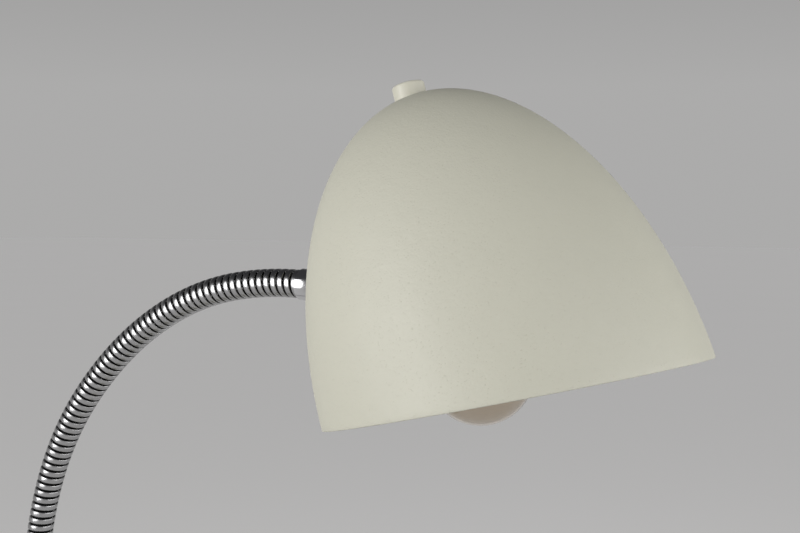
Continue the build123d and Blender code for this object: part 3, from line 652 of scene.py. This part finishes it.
flare_length, flare_rise = FERRULE_LENGTH - FERRULE_LIP, FERRULE_RADIUS - FERRULE_MOUTH
flare_radius = (flare_length**2 + flare_rise**2) / (2 * flare_rise)
x = np.linspace(0, flare_length, FLARE_POINTS)
flare_at = FERRULE_MOUTH + flare_radius - np.sqrt(flare_radius**2 - x**2)
flare = np.stack([flare_at, x - FERRULE_LENGTH], axis=1)
mouth_start = [(FERRULE_BORE, MOUTH_LEG - FERRULE_LENGTH), (FERRULE_BORE, -FERRULE_LENGTH)]
mouth = rounded([*mouth_start, flare[0]], [MOUTH_EDGE])
lip = rounded([flare[-2], flare[-1], (FERRULE_RADIUS, 0)], [LIP_EDGE])
ferrule_outside = np.concatenate([mouth, flare[:-2], lip])
ferrule_inside = [(STEM_HOLE, 0), (STEM_HOLE, -FERRULE_FLOOR), (FERRULE_BORE, -FERRULE_FLOOR)]
ferrule_profile = np.concatenate([ferrule_outside, ferrule_inside])

polished = metal("chrome_ferrule", POLISHED_CHROME, base=0.10, smudge=0.08, depth=FINE_SCRATCH)
foot_place = ((0, 0, COVER_CROWN), (0, 0, -1))
foot_ferrule = turned("foot_ferrule_spun", ferrule_profile, polished, foot_place)
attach(foot_ferrule, "base")
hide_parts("foot_ferrule")

# ------------------------------------------------
# Shade: half an egg spun from steel sheet and cut off at a slant, lacquered in
# and out with the same cream. The rim is dressed to a small round edge.

SHADE_RADIUS = 0.0796
SHADE_LENGTH = 0.1359
SHADE_WALL = 0.0008
SHADE_TILT = np.radians(22.24)
FRONT_DEPTH = 0.1440
REAR_DEPTH = 0.1171
ENTRY_DEPTH = 0.4402 * SHADE_LENGTH
HOLDER_LEAN = np.radians(5.9)
BUTTON_RADIUS = 0.0069
BUTTON_HOLE = BUTTON_RADIUS + 0.0004
MERIDIANS = 288
WALL_ROWS = 72
RIM_ROWS = 7
HOLE_SEARCH = 0.5  # from the crown to well past the button's hole
HALVINGS = 40
SIDE_WAYS = np.array([0.0, -1.0, 0.0])


def egg_radius(depth):
    """The shade's radius at a depth below its crown: b * sqrt(1 - (1 - depth / a)^2)."""
    return SHADE_RADIUS * np.sqrt(1 - (1 - depth / SHADE_LENGTH) ** 2)


def leaning(angle):
    """Up and forward unit vectors of an axis that leans back from +Z by an angle."""
    up = np.array([-np.sin(angle), 0, np.cos(angle)])
    return up, np.array([np.cos(angle), 0, np.sin(angle)])


shade_up, shade_forward = leaning(SHADE_TILT)
holder_up, holder_forward = leaning(SHADE_TILT - HOLDER_LEAN)
entry_point = neck_end + neck_way * FITTING_BODY
crown = entry_point + shade_up * ENTRY_DEPTH + shade_forward * egg_radius(ENTRY_DEPTH)
egg_centre = crown - shade_up * SHADE_LENGTH
rim_front = crown - shade_up * FRONT_DEPTH + shade_forward * egg_radius(FRONT_DEPTH)
rim_rear = crown - shade_up * REAR_DEPTH - shade_forward * egg_radius(REAR_DEPTH)
rim_up = np.cross(rim_front - rim_rear, (0.0, 1.0, 0.0))
rim_up *= np.sign(rim_up[2]) / np.linalg.norm(rim_up)

meridian = np.linspace(0, 2 * np.pi, MERIDIANS, endpoint=False)
outwards = np.cos(meridian)[:, None] * shade_forward + np.sin(meridian)[:, None] * SIDE_WAYS


def egg_point(angle, shrink):
    """On each meridian, the egg's point at an angle from the crown: the centre plus up times
    a cos(angle) plus outwards times b sin(angle)."""
    rise = (SHADE_LENGTH - shrink) * np.cos(angle)[..., None] * shade_up
    return egg_centre + rise + (SHADE_RADIUS - shrink) * np.sin(angle)[..., None] * outwards


def rim_angle(shrink):
    """Where the rim's plane cuts each meridian: A cos(angle) + B sin(angle) = C."""
    a = (SHADE_LENGTH - shrink) * (shade_up @ rim_up)
    b = (SHADE_RADIUS - shrink) * (outwards @ rim_up)
    c = (rim_rear - egg_centre) @ rim_up
    return np.arctan2(b, a) + np.arccos(c / np.hypot(a, b))


def hole_angle(shrink):
    """Where the button's hole cuts each meridian, found by halving."""
    low, high = np.zeros(MERIDIANS), np.full(MERIDIANS, HOLE_SEARCH)
    for _ in range(HALVINGS):
        middle = (low + high) / 2
        spoke = egg_point(middle, shrink) - crown
        away = np.linalg.norm(spoke - (spoke @ holder_up)[:, None] * holder_up, axis=1)
        within = away < BUTTON_HOLE
        low, high = np.where(within, middle, low), np.where(within, high, middle)
    return middle


def shade_wall(shrink):
    """One face of the shade, from the button's hole down to the rim."""
    t = np.linspace(0, 1, WALL_ROWS)[:, None]
    return egg_point(hole_angle(shrink) * (1 - t) + rim_angle(shrink) * t, shrink)


outer_wall, inner_wall = shade_wall(0.0), shade_wall(SHADE_WALL)[::-1]
rim_middle = (outer_wall[-1] + inner_wall[0]) / 2
rim_out = outer_wall[-1] - rim_middle
rim_down = outer_wall[-1] - outer_wall[-2]
rim_down *= lengths(rim_out) / lengths(rim_down)
beta = np.linspace(0, np.pi, RIM_ROWS)[:, None, None]
rim_edge = rim_middle - rim_down + np.cos(beta) * rim_out + np.sin(beta) * rim_down
shade_grid = np.concatenate([outer_wall[:-1], rim_edge, inner_wall[1:]])
shade = closed_grid("shade_spun", shade_grid, cream_lacquer)
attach(shade, "head")
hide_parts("shade")


def wall_distance(points, way):
    """How far each point is from the shade's outside along a direction, a hair short of it."""
    from_centre = points - egg_centre
    scale = 1 / np.array([SHADE_RADIUS, SHADE_RADIUS, SHADE_LENGTH]) ** 2
    basis = np.stack([shade_forward, SIDE_WAYS, shade_up])
    p, w = from_centre @ basis.T, way @ basis.T
    a, b, c = (w * w) @ scale, (p * w) @ scale, (p * p) @ scale - 1
    return (-b - np.sqrt(b * b - a * c)) / a - SHADE_GAP


flat_grid = turned_grid(ferrule_profile, entry_point, neck_way, around=SMALL_AROUND)
to_seat = (flat_grid - entry_point) @ neck_way
share = np.clip(1 + to_seat / FERRULE_LIP, 0, 1)[..., None]
reach = wall_distance(flat_grid - to_seat[..., None] * neck_way, neck_way)[..., None]
seated_grid = flat_grid + share * reach * neck_way
head_ferrule = closed_grid("head_ferrule_spun", seated_grid, polished)
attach(head_ferrule, "head")
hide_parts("head_ferrule")

# ------------------------------------------------
# Turned steel end fittings, nuts and washers, the saddle and the bent bracket.
# They are zinc-plated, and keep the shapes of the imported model.

finish_nodes(zinc_steel, "foot_fitting", "foot_washer", "foot_nut", "head_fitting", "head_washer")
finish_nodes(zinc_steel, "head_nut", "head_saddle", "head_bracket")

# ------------------------------------------------
# Push-button: moulded in one with a rounded edge and a faintly crowned top, in
# the lacquer's cream, and pressed on the switch's plunger.

BUTTON_PROUD = 0.0065
BUTTON_LENGTH = 0.0111
BUTTON_EDGE = 0.0012
BUTTON_CROWN = 0.00012
PLUNGER_BORE = 0.00253
PLUNGER_GRIP = 0.0060
BUTTON_CREAM = (0.63, 0.615, 0.52)
PALE_CREAM = (0.65, 0.635, 0.54)
DEEP_CREAM = (0.60, 0.58, 0.49)

cream_button, tree, shader = new_material("cream_button", BUTTON_CREAM, roughness=0.46)
clouds = value_noise(tree, cells=220, detail=3.0)
mottle(tree, shader, clouds, PALE_CREAM, DEEP_CREAM)
roughen(tree, shader, clouds, 0.42, 0.52)
grain = value_noise(tree, cells=1300)
add_bump(tree, shader, grain, distance=0.00004, strength=0.4)

button_foot = BUTTON_PROUD - BUTTON_LENGTH
button_corners = [
    (0, BUTTON_PROUD),
    (BUTTON_RADIUS, BUTTON_PROUD - BUTTON_CROWN),
    (BUTTON_RADIUS, button_foot),
    (PLUNGER_BORE, button_foot),
    (PLUNGER_BORE, button_foot + PLUNGER_GRIP),
    (0, button_foot + PLUNGER_GRIP),
]
button_profile = rounded(button_corners, [BUTTON_EDGE, 0.0003, 0.0002, 0.0002], steps=8)
push_button = turned("push_button_moulding", button_profile, cream_button, (crown, holder_up))
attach(push_button, "button")
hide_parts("push_button")

# ------------------------------------------------
# Switch: a black phenolic housing closed by an insert that carries the brass
# contacts. A plunger pushes the contact bar down against a wound spring.

SPRING_TOP = 0.02275
SPRING_FOOT = 0.03355
SPRING_RADIUS = 0.0030
SPRING_WIRE = 0.00035
SPRING_TURNS = 6.2
SPRING_FLAT = 0.6
SPRING_POINTS = 220
PHENOLIC = (0.022, 0.018, 0.016)
DARK_FLOW = (0.016, 0.013, 0.012)
BROWN_FLOW = (0.040, 0.028, 0.022)

phenolic, tree, shader = new_material("black_phenolic", PHENOLIC, roughness=0.30)
flow = value_noise(tree, cells=90, detail=4.0, roughness=0.7)
mottle(tree, shader, flow, DARK_FLOW, BROWN_FLOW)
roughen(tree, shader, flow, 0.24, 0.42)
grain = value_noise(tree, cells=900)
add_bump(tree, shader, grain, distance=0.00003, strength=0.4)
finish_nodes(phenolic, "switch_housing", "switch_insert", "plunger")
finish_nodes(brass, "switch_contacts", "terminal_screws", "moving_contact")
finish_nodes(brass, "screw_shell", "centre_contact")


def tube(name, path, radius, material, around=WIRE_SIDES):
    """A round wire along a path: each ring is the path's point plus the radius times (cos,
    sin) along two directions square to the path, the first pointing away from its middle."""
    tangent = np.gradient(path, axis=0)
    tangent /= lengths(tangent)
    middle = path - path.mean(axis=0)
    first = middle - np.sum(middle * tangent, axis=1, keepdims=True) * tangent
    first /= lengths(first)
    second = np.cross(tangent, first)
    angle = np.linspace(0, 2 * np.pi, around, endpoint=False)[:, None]
    ring = np.cos(angle) * first[:, None] + np.sin(angle) * second[:, None]
    return capped_tube(name, path[:, None] + radius * ring, material, WIRE_DEGREES)


turn = np.linspace(0, SPRING_TURNS, SPRING_POINTS)
climb = np.clip((turn - SPRING_FLAT) / (SPRING_TURNS - 2 * SPRING_FLAT), 0, 1)
angle = 2 * np.pi * turn[:, None]
spring_path = crown - holder_up * (SPRING_FOOT + climb[:, None] * (SPRING_TOP - SPRING_FOOT))
spring_ring = np.cos(angle) * holder_forward - np.sin(angle) * SIDE_WAYS
spring_path = spring_path + SPRING_RADIUS * spring_ring
return_spring = tube("return_spring_wound", spring_path, SPRING_WIRE, zinc_steel)
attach(return_spring, "head")
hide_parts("return_spring")
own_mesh(return_spring)

# ------------------------------------------------
# Lampholder: a phenolic body with a flange above and a threaded skirt below,
# clamped to the bracket's ring by a ribbed ring nut of the same material.

HOLDER_TOP = 0.0380
HOLDER_FLANGE_RADIUS = 0.0180
HOLDER_FLANGE = 0.0030
HOLDER_LENGTH = 0.0490
HOLDER_RADIUS = 0.0140
HOLDER_PITCH = 0.0025
HOLDER_THREAD = 0.0005
CHAMBER_RADIUS = 0.0110
CHAMBER_DEPTH = 0.0120
SOCKET_RADIUS = 0.00763
SOCKET_DEPTH = 0.0300
RING_TOP = 0.0430
RING_RADIUS = 0.0190
RING_FLANGE = 0.0020
RING_COLLAR = 0.0170
RING_BORE = 0.0141
RING_HEIGHT = 0.0070
RING_RIBS = 30
RING_RIB_DEPTH = 0.0005
RIB_POINTS = 8
RIB_STEEPNESS = 2
THREAD_STEP = 0.00025
THREAD_LEG = 0.001
THREAD_START = 0.0012
HOLDER_LEG = 0.002
ON_WALL = 1e-7
PAST_FLANGE = 1e-6


def holder_place(depth):
    """The place of a piece on the holder's axis, at a depth below the crown."""
    return crown - holder_up * depth, holder_up


def threaded_grid(profile, place, wall, top, foot, pitch, depth):
    """The grid of a turned piece with a rounded right-hand thread in its wall. Between two
    heights the radius sinks by depth * (1 - cos(phase)) / 2, a turn of phase a pitch."""
    origin, axis = place
    grid = turned_grid(profile, origin, axis, around=SMALL_AROUND)
    height = (grid - origin) @ axis
    centre = origin + height[..., None] * axis
    radius = np.linalg.norm(grid - centre, axis=-1)
    phase = 2 * np.pi * (height / pitch - np.arange(grid.shape[1]) / grid.shape[1])
    fade = np.clip((top - height) / pitch, 0, 1) * np.clip((height - foot) / pitch, 0, 1)
    sink = np.where(abs(radius - wall) < ON_WALL, depth * fade * (1 - np.cos(phase)) / 2, 0)
    return centre + (grid - centre) * (1 - sink / np.maximum(radius, NO_LENGTH))[..., None]


def fine_wall(radius, start, end):
    """A straight length of profile in even steps, for a thread."""
    heights = np.linspace(start, end, int(abs(end - start) / THREAD_STEP) + 1)
    return np.stack([np.full_like(heights, radius), heights], axis=1)


holder_foot, flange_foot = -HOLDER_LENGTH, -HOLDER_FLANGE
skirt_corners = [
    (SOCKET_RADIUS, holder_foot + HOLDER_LEG),
    (SOCKET_RADIUS, holder_foot),
    (HOLDER_RADIUS, holder_foot),
    (HOLDER_RADIUS, holder_foot + THREAD_LEG),
]
flange_corners = [
    (HOLDER_RADIUS, flange_foot - THREAD_LEG),
    (HOLDER_RADIUS, flange_foot),
    (HOLDER_FLANGE_RADIUS, flange_foot),
    (HOLDER_FLANGE_RADIUS, 0),
    (CHAMBER_RADIUS, 0),
    (CHAMBER_RADIUS, -CHAMBER_DEPTH),
    (0, -CHAMBER_DEPTH),
]
socket_floor = [(0, holder_foot + SOCKET_DEPTH), (SOCKET_RADIUS, holder_foot + SOCKET_DEPTH)]
skirt = rounded(skirt_corners, [0.0005, 0.0006])
thread = fine_wall(HOLDER_RADIUS, holder_foot + THREAD_START, flange_foot - THREAD_START)
flange = rounded(flange_corners, [0.0003, 0.0004, 0.0004, 0.0003, 0.0003])
holder_profile = np.concatenate([socket_floor, skirt, thread, flange])
holder_grid = threaded_grid(
    holder_profile,
    holder_place(HOLDER_TOP),
    wall=HOLDER_RADIUS,
    top=HOLDER_TOP - RING_TOP - RING_HEIGHT,
    foot=holder_foot + HOLDER_LEG,
    pitch=HOLDER_PITCH,
    depth=HOLDER_THREAD,
)
holder_body = closed_grid("holder_body_moulding", holder_grid, phenolic, loop_rows=False)
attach(holder_body, "head")
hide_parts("holder_body")

ring_corners = [
    (RING_BORE, -RING_HEIGHT / 2),
    (RING_BORE, -RING_HEIGHT),
    (RING_COLLAR, -RING_HEIGHT),
    (RING_COLLAR, -RING_FLANGE),
    (RING_RADIUS, -RING_FLANGE),
    (RING_RADIUS, 0),
    (RING_BORE, 0),
    (RING_BORE, -RING_HEIGHT / 2),
]
ring_radii = [0.0006, 0.0008, 0.0003, 0.0004, 0.0004, 0.0003]
ring_profile = rounded(ring_corners, ring_radii)[:-1]
ring_grid = turned_grid(ring_profile, *holder_place(RING_TOP), around=RING_RIBS * RIB_POINTS)
from_axis = ring_grid - crown
rise = from_axis @ holder_up
from_axis = from_axis - rise[..., None] * holder_up
ring_radius = lengths(from_axis)
rib_phase = np.cos(2 * np.pi * np.arange(RING_RIBS * RIB_POINTS) / RIB_POINTS)
on_collar = np.clip((ring_radius[..., 0] - RING_BORE) / (RING_COLLAR - RING_BORE), 0, 1)
on_collar = np.where(rise < -RING_TOP - RING_FLANGE - PAST_FLANGE, on_collar, 0)
rib_sink = RING_RIB_DEPTH * on_collar * (1 - np.clip(rib_phase * RIB_STEEPNESS, -1, 1)) / 2
ring_grid = ring_grid - rib_sink[..., None] * from_axis / ring_radius
holder_ring = closed_grid("holder_ring_moulding", ring_grid, phenolic)
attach(holder_ring, "head")
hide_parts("holder_ring")

# ------------------------------------------------
# Bulb: clear soda glass blown as a ball with a neck, cemented in a rolled brass
# screw cap. Black glass holds the solder contact in the cap's end.

BULB_REACH = 0.1394
BALL_RADIUS = 0.0225
GLASS_WALL = 0.0007
GLASS_NECK = 0.0083
SHOULDER_RADIUS = 0.0100
GLASS_TOP = 0.0879
CAP_TOP = 0.0646
CAP_FOOT = 0.0891
CAP_RADIUS = 0.0069
CAP_BORE = 0.0059
CAP_SKIRT_RADIUS = 0.0088
CAP_SKIRT = 0.0016
CAP_PITCH = 0.00282
CAP_THREAD = 0.00055
CAP_THREAD_TOP = -CAP_TOP - THREAD_LEG
CAP_THREAD_FOOT = -CAP_FOOT + CAP_SKIRT + THREAD_LEG
CEMENT_GAP = 0.0001
SHOULDER_POINTS = 14
BALL_POINTS = 60
BLACK_GLASS = (0.010, 0.010, 0.014)
BLUE_SWIRL = (0.008, 0.008, 0.012)
VIOLET_SWIRL = (0.022, 0.018, 0.030)
SOLDER = (0.58, 0.58, 0.56)
CAP_BRASS = (0.78, 0.58, 0.28)
# The glass is clear: this darker, brownish colour is painted shade and reflection, for the dim
# shade interior seen through it.
GLASS_PAINTED_SHADE = (0.80, 0.73, 0.64)

black_glass, tree, shader = new_material("black_glass", BLACK_GLASS, roughness=0.10)
swirl = value_noise(tree, cells=500, detail=3.0)
mottle(tree, shader, swirl, BLUE_SWIRL, VIOLET_SWIRL)
roughen(tree, shader, swirl, 0.06, 0.18)
finish_nodes(black_glass, "bulb_insulator")
solder = metal("solder", SOLDER, base=0.34, smudge=0.20, depth=DEEP_SCRATCH)
finish_nodes(solder, "bulb_contact")

cap_corners = [
    (CAP_RADIUS, CAP_THREAD_FOOT),
    (CAP_RADIUS, -CAP_FOOT + CAP_SKIRT),
    (CAP_SKIRT_RADIUS, -CAP_FOOT + CAP_SKIRT),
    (CAP_SKIRT_RADIUS, -CAP_FOOT),
    (GLASS_NECK + CEMENT_GAP, -CAP_FOOT),
    (GLASS_NECK + CEMENT_GAP, -GLASS_TOP),
    (CAP_BORE, -GLASS_TOP),
    (CAP_BORE, -CAP_TOP),
    (CAP_RADIUS, -CAP_TOP),
    (CAP_RADIUS, CAP_THREAD_TOP),
]
cap_radii = [0.0003, 0.0005, 0.0001, 0.0001, 0.0002, 0.0002, 0.0001, 0.0004]
thread = fine_wall(CAP_RADIUS, -CAP_TOP - THREAD_START, -CAP_FOOT + CAP_SKIRT + THREAD_START)
cap_profile = np.concatenate([rounded(cap_corners, cap_radii), thread])
cap_grid = threaded_grid(
    cap_profile,
    holder_place(0),
    wall=CAP_RADIUS,
    top=CAP_THREAD_TOP,
    foot=CAP_THREAD_FOOT,
    pitch=CAP_PITCH,
    depth=CAP_THREAD,
)
cap_brass = bare_brass("cap_brass", CAP_BRASS)
bulb_cap = closed_grid("bulb_cap_rolled", cap_grid, cap_brass)
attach(bulb_cap, "head")
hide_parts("bulb_cap")

# Its colour is painted shade and reflection, not a tint of the glass itself.
clear_glass, tree, shader = new_material(
    "clear_glass", GLASS_PAINTED_SHADE, roughness=0.02, IOR=1.5, Transmission_Weight=1.0
)
smears = value_noise(tree, cells=70, detail=3.0, roughness=0.65, stretch=(1, 1, 2))
roughen(tree, shader, smears, 0.0, 0.10, noise_range=(0.45, 0.75))
waves = value_noise(tree, cells=55, detail=1.0)
add_bump(tree, shader, waves, distance=0.0004, strength=0.12)

shoulder_across = GLASS_NECK + SHOULDER_RADIUS
shoulder_rise = np.sqrt((BALL_RADIUS + SHOULDER_RADIUS) ** 2 - shoulder_across**2)
shoulder_turn = np.arctan2(shoulder_rise, shoulder_across)
ball_depth = BULB_REACH - BALL_RADIUS


def bulb_outline(shrink):
    """One face of the glass, from its neck's end down to its tip: a straight neck, an arc that
    curves out, and the ball's arc, which meets it where both have the same slope."""
    bend = np.linspace(0, shoulder_turn, SHOULDER_POINTS)
    bend = np.stack([-np.cos(bend), -np.sin(bend)], axis=1) * (SHOULDER_RADIUS + shrink)
    bend = bend + (shoulder_across, shoulder_rise - ball_depth)
    ball = np.linspace(shoulder_turn, -np.pi / 2, BALL_POINTS)[1:]
    ball = np.stack([np.cos(ball), np.sin(ball)], axis=1) * (BALL_RADIUS - shrink)
    neck = [(GLASS_NECK - shrink, -GLASS_TOP)]
    outline = np.concatenate([neck, bend, ball - (0, ball_depth)])
    outline[-1, 0] = 0
    return outline


glass_profile = np.concatenate([bulb_outline(GLASS_WALL)[::-1], bulb_outline(0)])
bulb_glass = turned("bulb_glass_blown", glass_profile, clear_glass, holder_place(0))
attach(bulb_glass, "head")
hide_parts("bulb_glass")

# ------------------------------------------------
# Stem and filament: a glass flare drawn down to a rod, which holds two nickel
# lead wires. A coiled tungsten wire hangs between their ends.

STEM_RADIUS = 0.00757
STEM_ROD = 0.0022
STEM_LENGTH = 0.0140
STEM_WALL = 0.0007
STEM_FLARE = 0.55
STEM_FLARE_POINTS = 20
STEM_FLARE_POWER = 0.6
STEM_BORE_SHARE = 0.7
STEM_END_SHARE = 0.7
LEAD_SPACING = 0.0020
LEAD_RADIUS = 0.00022
LEAD_GAP = 0.0001
LEAD_BOW = 0.0006
LEAD_POINTS = 24
LEAD_SPREAD_POWER = 1.3
FILAMENT_SPAN = 0.0140
FILAMENT_DROP = 0.0200
FILAMENT_SAG = 0.0030
FILAMENT_COIL = 0.00042
FILAMENT_WIRE = 0.00009
FILAMENT_TURNS = 40
FILAMENT_STEPS = 12
FILAMENT_AROUND = 6
TUNGSTEN = (0.22, 0.22, 0.23)
NICKEL = (0.48, 0.46, 0.42)


def flare_outline(shrink, end):
    """The flare's radius falls from the neck's to the rod's by half a cosine, then runs on."""
    x = np.linspace(0, 1, STEM_FLARE_POINTS)
    swell = (1 + np.cos(np.pi * x**STEM_FLARE_POWER)) / 2
    fall = STEM_ROD + (STEM_RADIUS - STEM_ROD) * swell - shrink
    curve = np.stack([fall, -GLASS_TOP - x * STEM_LENGTH * STEM_FLARE], axis=1)
    rod = [(STEM_ROD - shrink, -GLASS_TOP - end), (0, -GLASS_TOP - end)]
    rod = rounded([curve[-1], *rod], [(STEM_ROD - shrink) * STEM_END_SHARE])
    return np.concatenate([curve[:-1], rod])


stem_bore = flare_outline(STEM_WALL, STEM_LENGTH * STEM_BORE_SHARE)
stem_profile = np.concatenate([stem_bore[::-1], flare_outline(0, STEM_LENGTH)])
bulb_stem = turned("bulb_stem_drawn", stem_profile, clear_glass, holder_place(0), TINY_AROUND)
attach(bulb_stem, "head")
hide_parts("bulb_stem")

lead_top = GLASS_TOP + STEM_LENGTH + LEAD_GAP
lead_foot = lead_top + FILAMENT_DROP
tungsten = metal("tungsten", TUNGSTEN, base=0.38, smudge=0.12, depth=FINE_SCRATCH)
nickel = metal("nickel_lead", NICKEL, base=0.26, smudge=0.12, depth=FINE_SCRATCH)
for hand, label in ((-1, "left"), (1, "right")):
    t = np.linspace(0, 1, LEAD_POINTS)[:, None]
    across = LEAD_SPACING / 2 + (FILAMENT_SPAN - LEAD_SPACING) / 2 * t**LEAD_SPREAD_POWER
    bow = LEAD_BOW * np.sin(np.pi * t)
    lead_path = crown - holder_up * (lead_top + FILAMENT_DROP * t) + holder_forward * bow
    lead_path = lead_path - hand * across * SIDE_WAYS
    lead = tube(f"lead_wire_{label}", lead_path, LEAD_RADIUS, nickel)
    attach(lead, "head")

t = np.linspace(-1, 1, FILAMENT_TURNS * FILAMENT_STEPS + 1)[:, None]
coil_phase = np.pi * FILAMENT_TURNS * t
swing = FILAMENT_COIL * np.cos(coil_phase)
filament_path = crown - holder_up * (lead_foot + FILAMENT_SAG * (1 - t**2) - FILAMENT_COIL - swing)
filament_path = filament_path - t * FILAMENT_SPAN / 2 * SIDE_WAYS
filament_path = filament_path + FILAMENT_COIL * np.sin(coil_phase) * holder_forward
filament = tube("filament_coil", filament_path, FILAMENT_WIRE, tungsten, FILAMENT_AROUND)
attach(filament, "head")
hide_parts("filament")

# ------------------------------------------------
# Studio: a pale floor, a pale surround that darkens overhead, three softboxes
# behind grids, and the camera.

FLOOR_HALF = 12.0
FLOOR_COLOUR = (0.55, 0.545, 0.54)
DULL_FLOOR = duller(FLOOR_COLOUR, 0.97)
FLOOR_GLOW = 0.32
GLOW_COLOUR = (1.0, 0.99, 0.985, 1.0)
DARKENING_RANGE = (0.08, 0.55)
SURROUND = (0.412, 0.409, 0.406)
OVERHEAD = (0.05, 0.05, 0.053)
AMBIENT = 0.17
CAMERA_FROM_CROWN = (0.31369, -0.5321, -0.0447)
CAMERA_RIGHT = (0.85757, 0.51436, 0.0)
CAMERA_UP = (-0.02114, 0.03524, 0.99916)
CAMERA_BACK = (0.51393, -0.85685, 0.04110)
LENS = 66.24
SENSOR = 36.0
SOFTBOX_SPREAD = np.radians(90)
SUBJECT_DEPTH = 0.07  # how far below the crown the softboxes aim


def shown_rays(tree):
    """1 for the rays that show a backdrop itself: from the camera, a gloss or through glass."""
    rays = tree.nodes.new("ShaderNodeLightPath").outputs
    shown = math_node(tree, "MAXIMUM", rays["Is Camera Ray"], rays["Is Glossy Ray"])
    return math_node(tree, "MAXIMUM", shown, rays["Is Transmission Ray"])


floor_paint, tree, shader = new_material(
    "floor_paint", FLOOR_COLOUR, roughness=0.8, Emission_Color=GLOW_COLOUR
)
mottle(tree, shader, value_noise(tree, cells=3, detail=3.0), FLOOR_COLOUR, DULL_FLOOR)
glow = math_node(tree, "MULTIPLY", shown_rays(tree), FLOOR_GLOW)
tree.links.new(glow, shader.inputs["Emission Strength"])
corners = np.array([(-1, -1, 0), (1, -1, 0), (1, 1, 0), (-1, 1, 0)]) * FLOOR_HALF
floor = mesh_object("studio_floor", corners, [np.array([[0, 1, 2, 3]])], floor_paint)

world = bpy.data.worlds.new("studio")
scene.world = world
world.use_nodes = True
tree = world.node_tree
sky = tree.nodes.new("ShaderNodeTexCoord")
parts = tree.nodes.new("ShaderNodeSeparateXYZ")
tree.links.new(sky.outputs["Generated"], parts.inputs["Vector"])
darkening = ramp(tree, parts.outputs["Z"], *DARKENING_RANGE)
seen = mix_colour(tree, darkening, SURROUND, OVERHEAD)
seen = mix_colour(tree, shown_rays(tree), (AMBIENT,) * 3, seen)
tree.links.new(seen, tree.nodes["Background"].inputs["Color"])

right, up, back = (np.array(way) for way in (CAMERA_RIGHT, CAMERA_UP, CAMERA_BACK))
subject = crown - SUBJECT_DEPTH * shade_up


def softbox(name, way, distance, width, height, power):
    """A rectangular area lamp behind a grid, that faces the shade from a way given in the
    camera's own right, up and back, hidden from the camera."""
    data = bpy.data.lights.new(name, "AREA")
    data.shape, data.size, data.size_y, data.energy = "RECTANGLE", width, height, power
    data.spread = SOFTBOX_SPREAD
    lamp = bpy.data.objects.new(name, data)
    scene.collection.objects.link(lamp)
    way = way[0] * right + way[1] * up + way[2] * back
    way /= np.linalg.norm(way)
    turn = Vector(way).to_track_quat("Z", "Y").to_matrix().to_4x4()
    lamp.matrix_world = Matrix.Translation(subject + distance * way) @ turn
    lamp.visible_camera = False


softbox("left_softbox", (-0.88, 0.096, 0.476), distance=1.1, width=0.9, height=0.9, power=3.4)
softbox("right_softbox", (0.75, 0.10, 0.65), distance=1.6, width=1.2, height=1.0, power=4.0)
softbox("side_softbox", (1.0, 0.10, 0.05), distance=1.6, width=1.0, height=1.0, power=1.9)

camera_data = bpy.data.cameras.new("camera")
camera_data.lens, camera_data.sensor_width = LENS, SENSOR
camera = bpy.data.objects.new("camera", camera_data)
scene.collection.objects.link(camera)
pose = Matrix.Identity(4)
for column, way in enumerate((right, up, back, crown + np.array(CAMERA_FROM_CROWN))):
    for row in range(3):
        pose[row][column] = way[row]
camera.matrix_world = pose
scene.camera = camera
scene.view_settings.view_transform = "Standard"

bpy.context.view_layer.update()
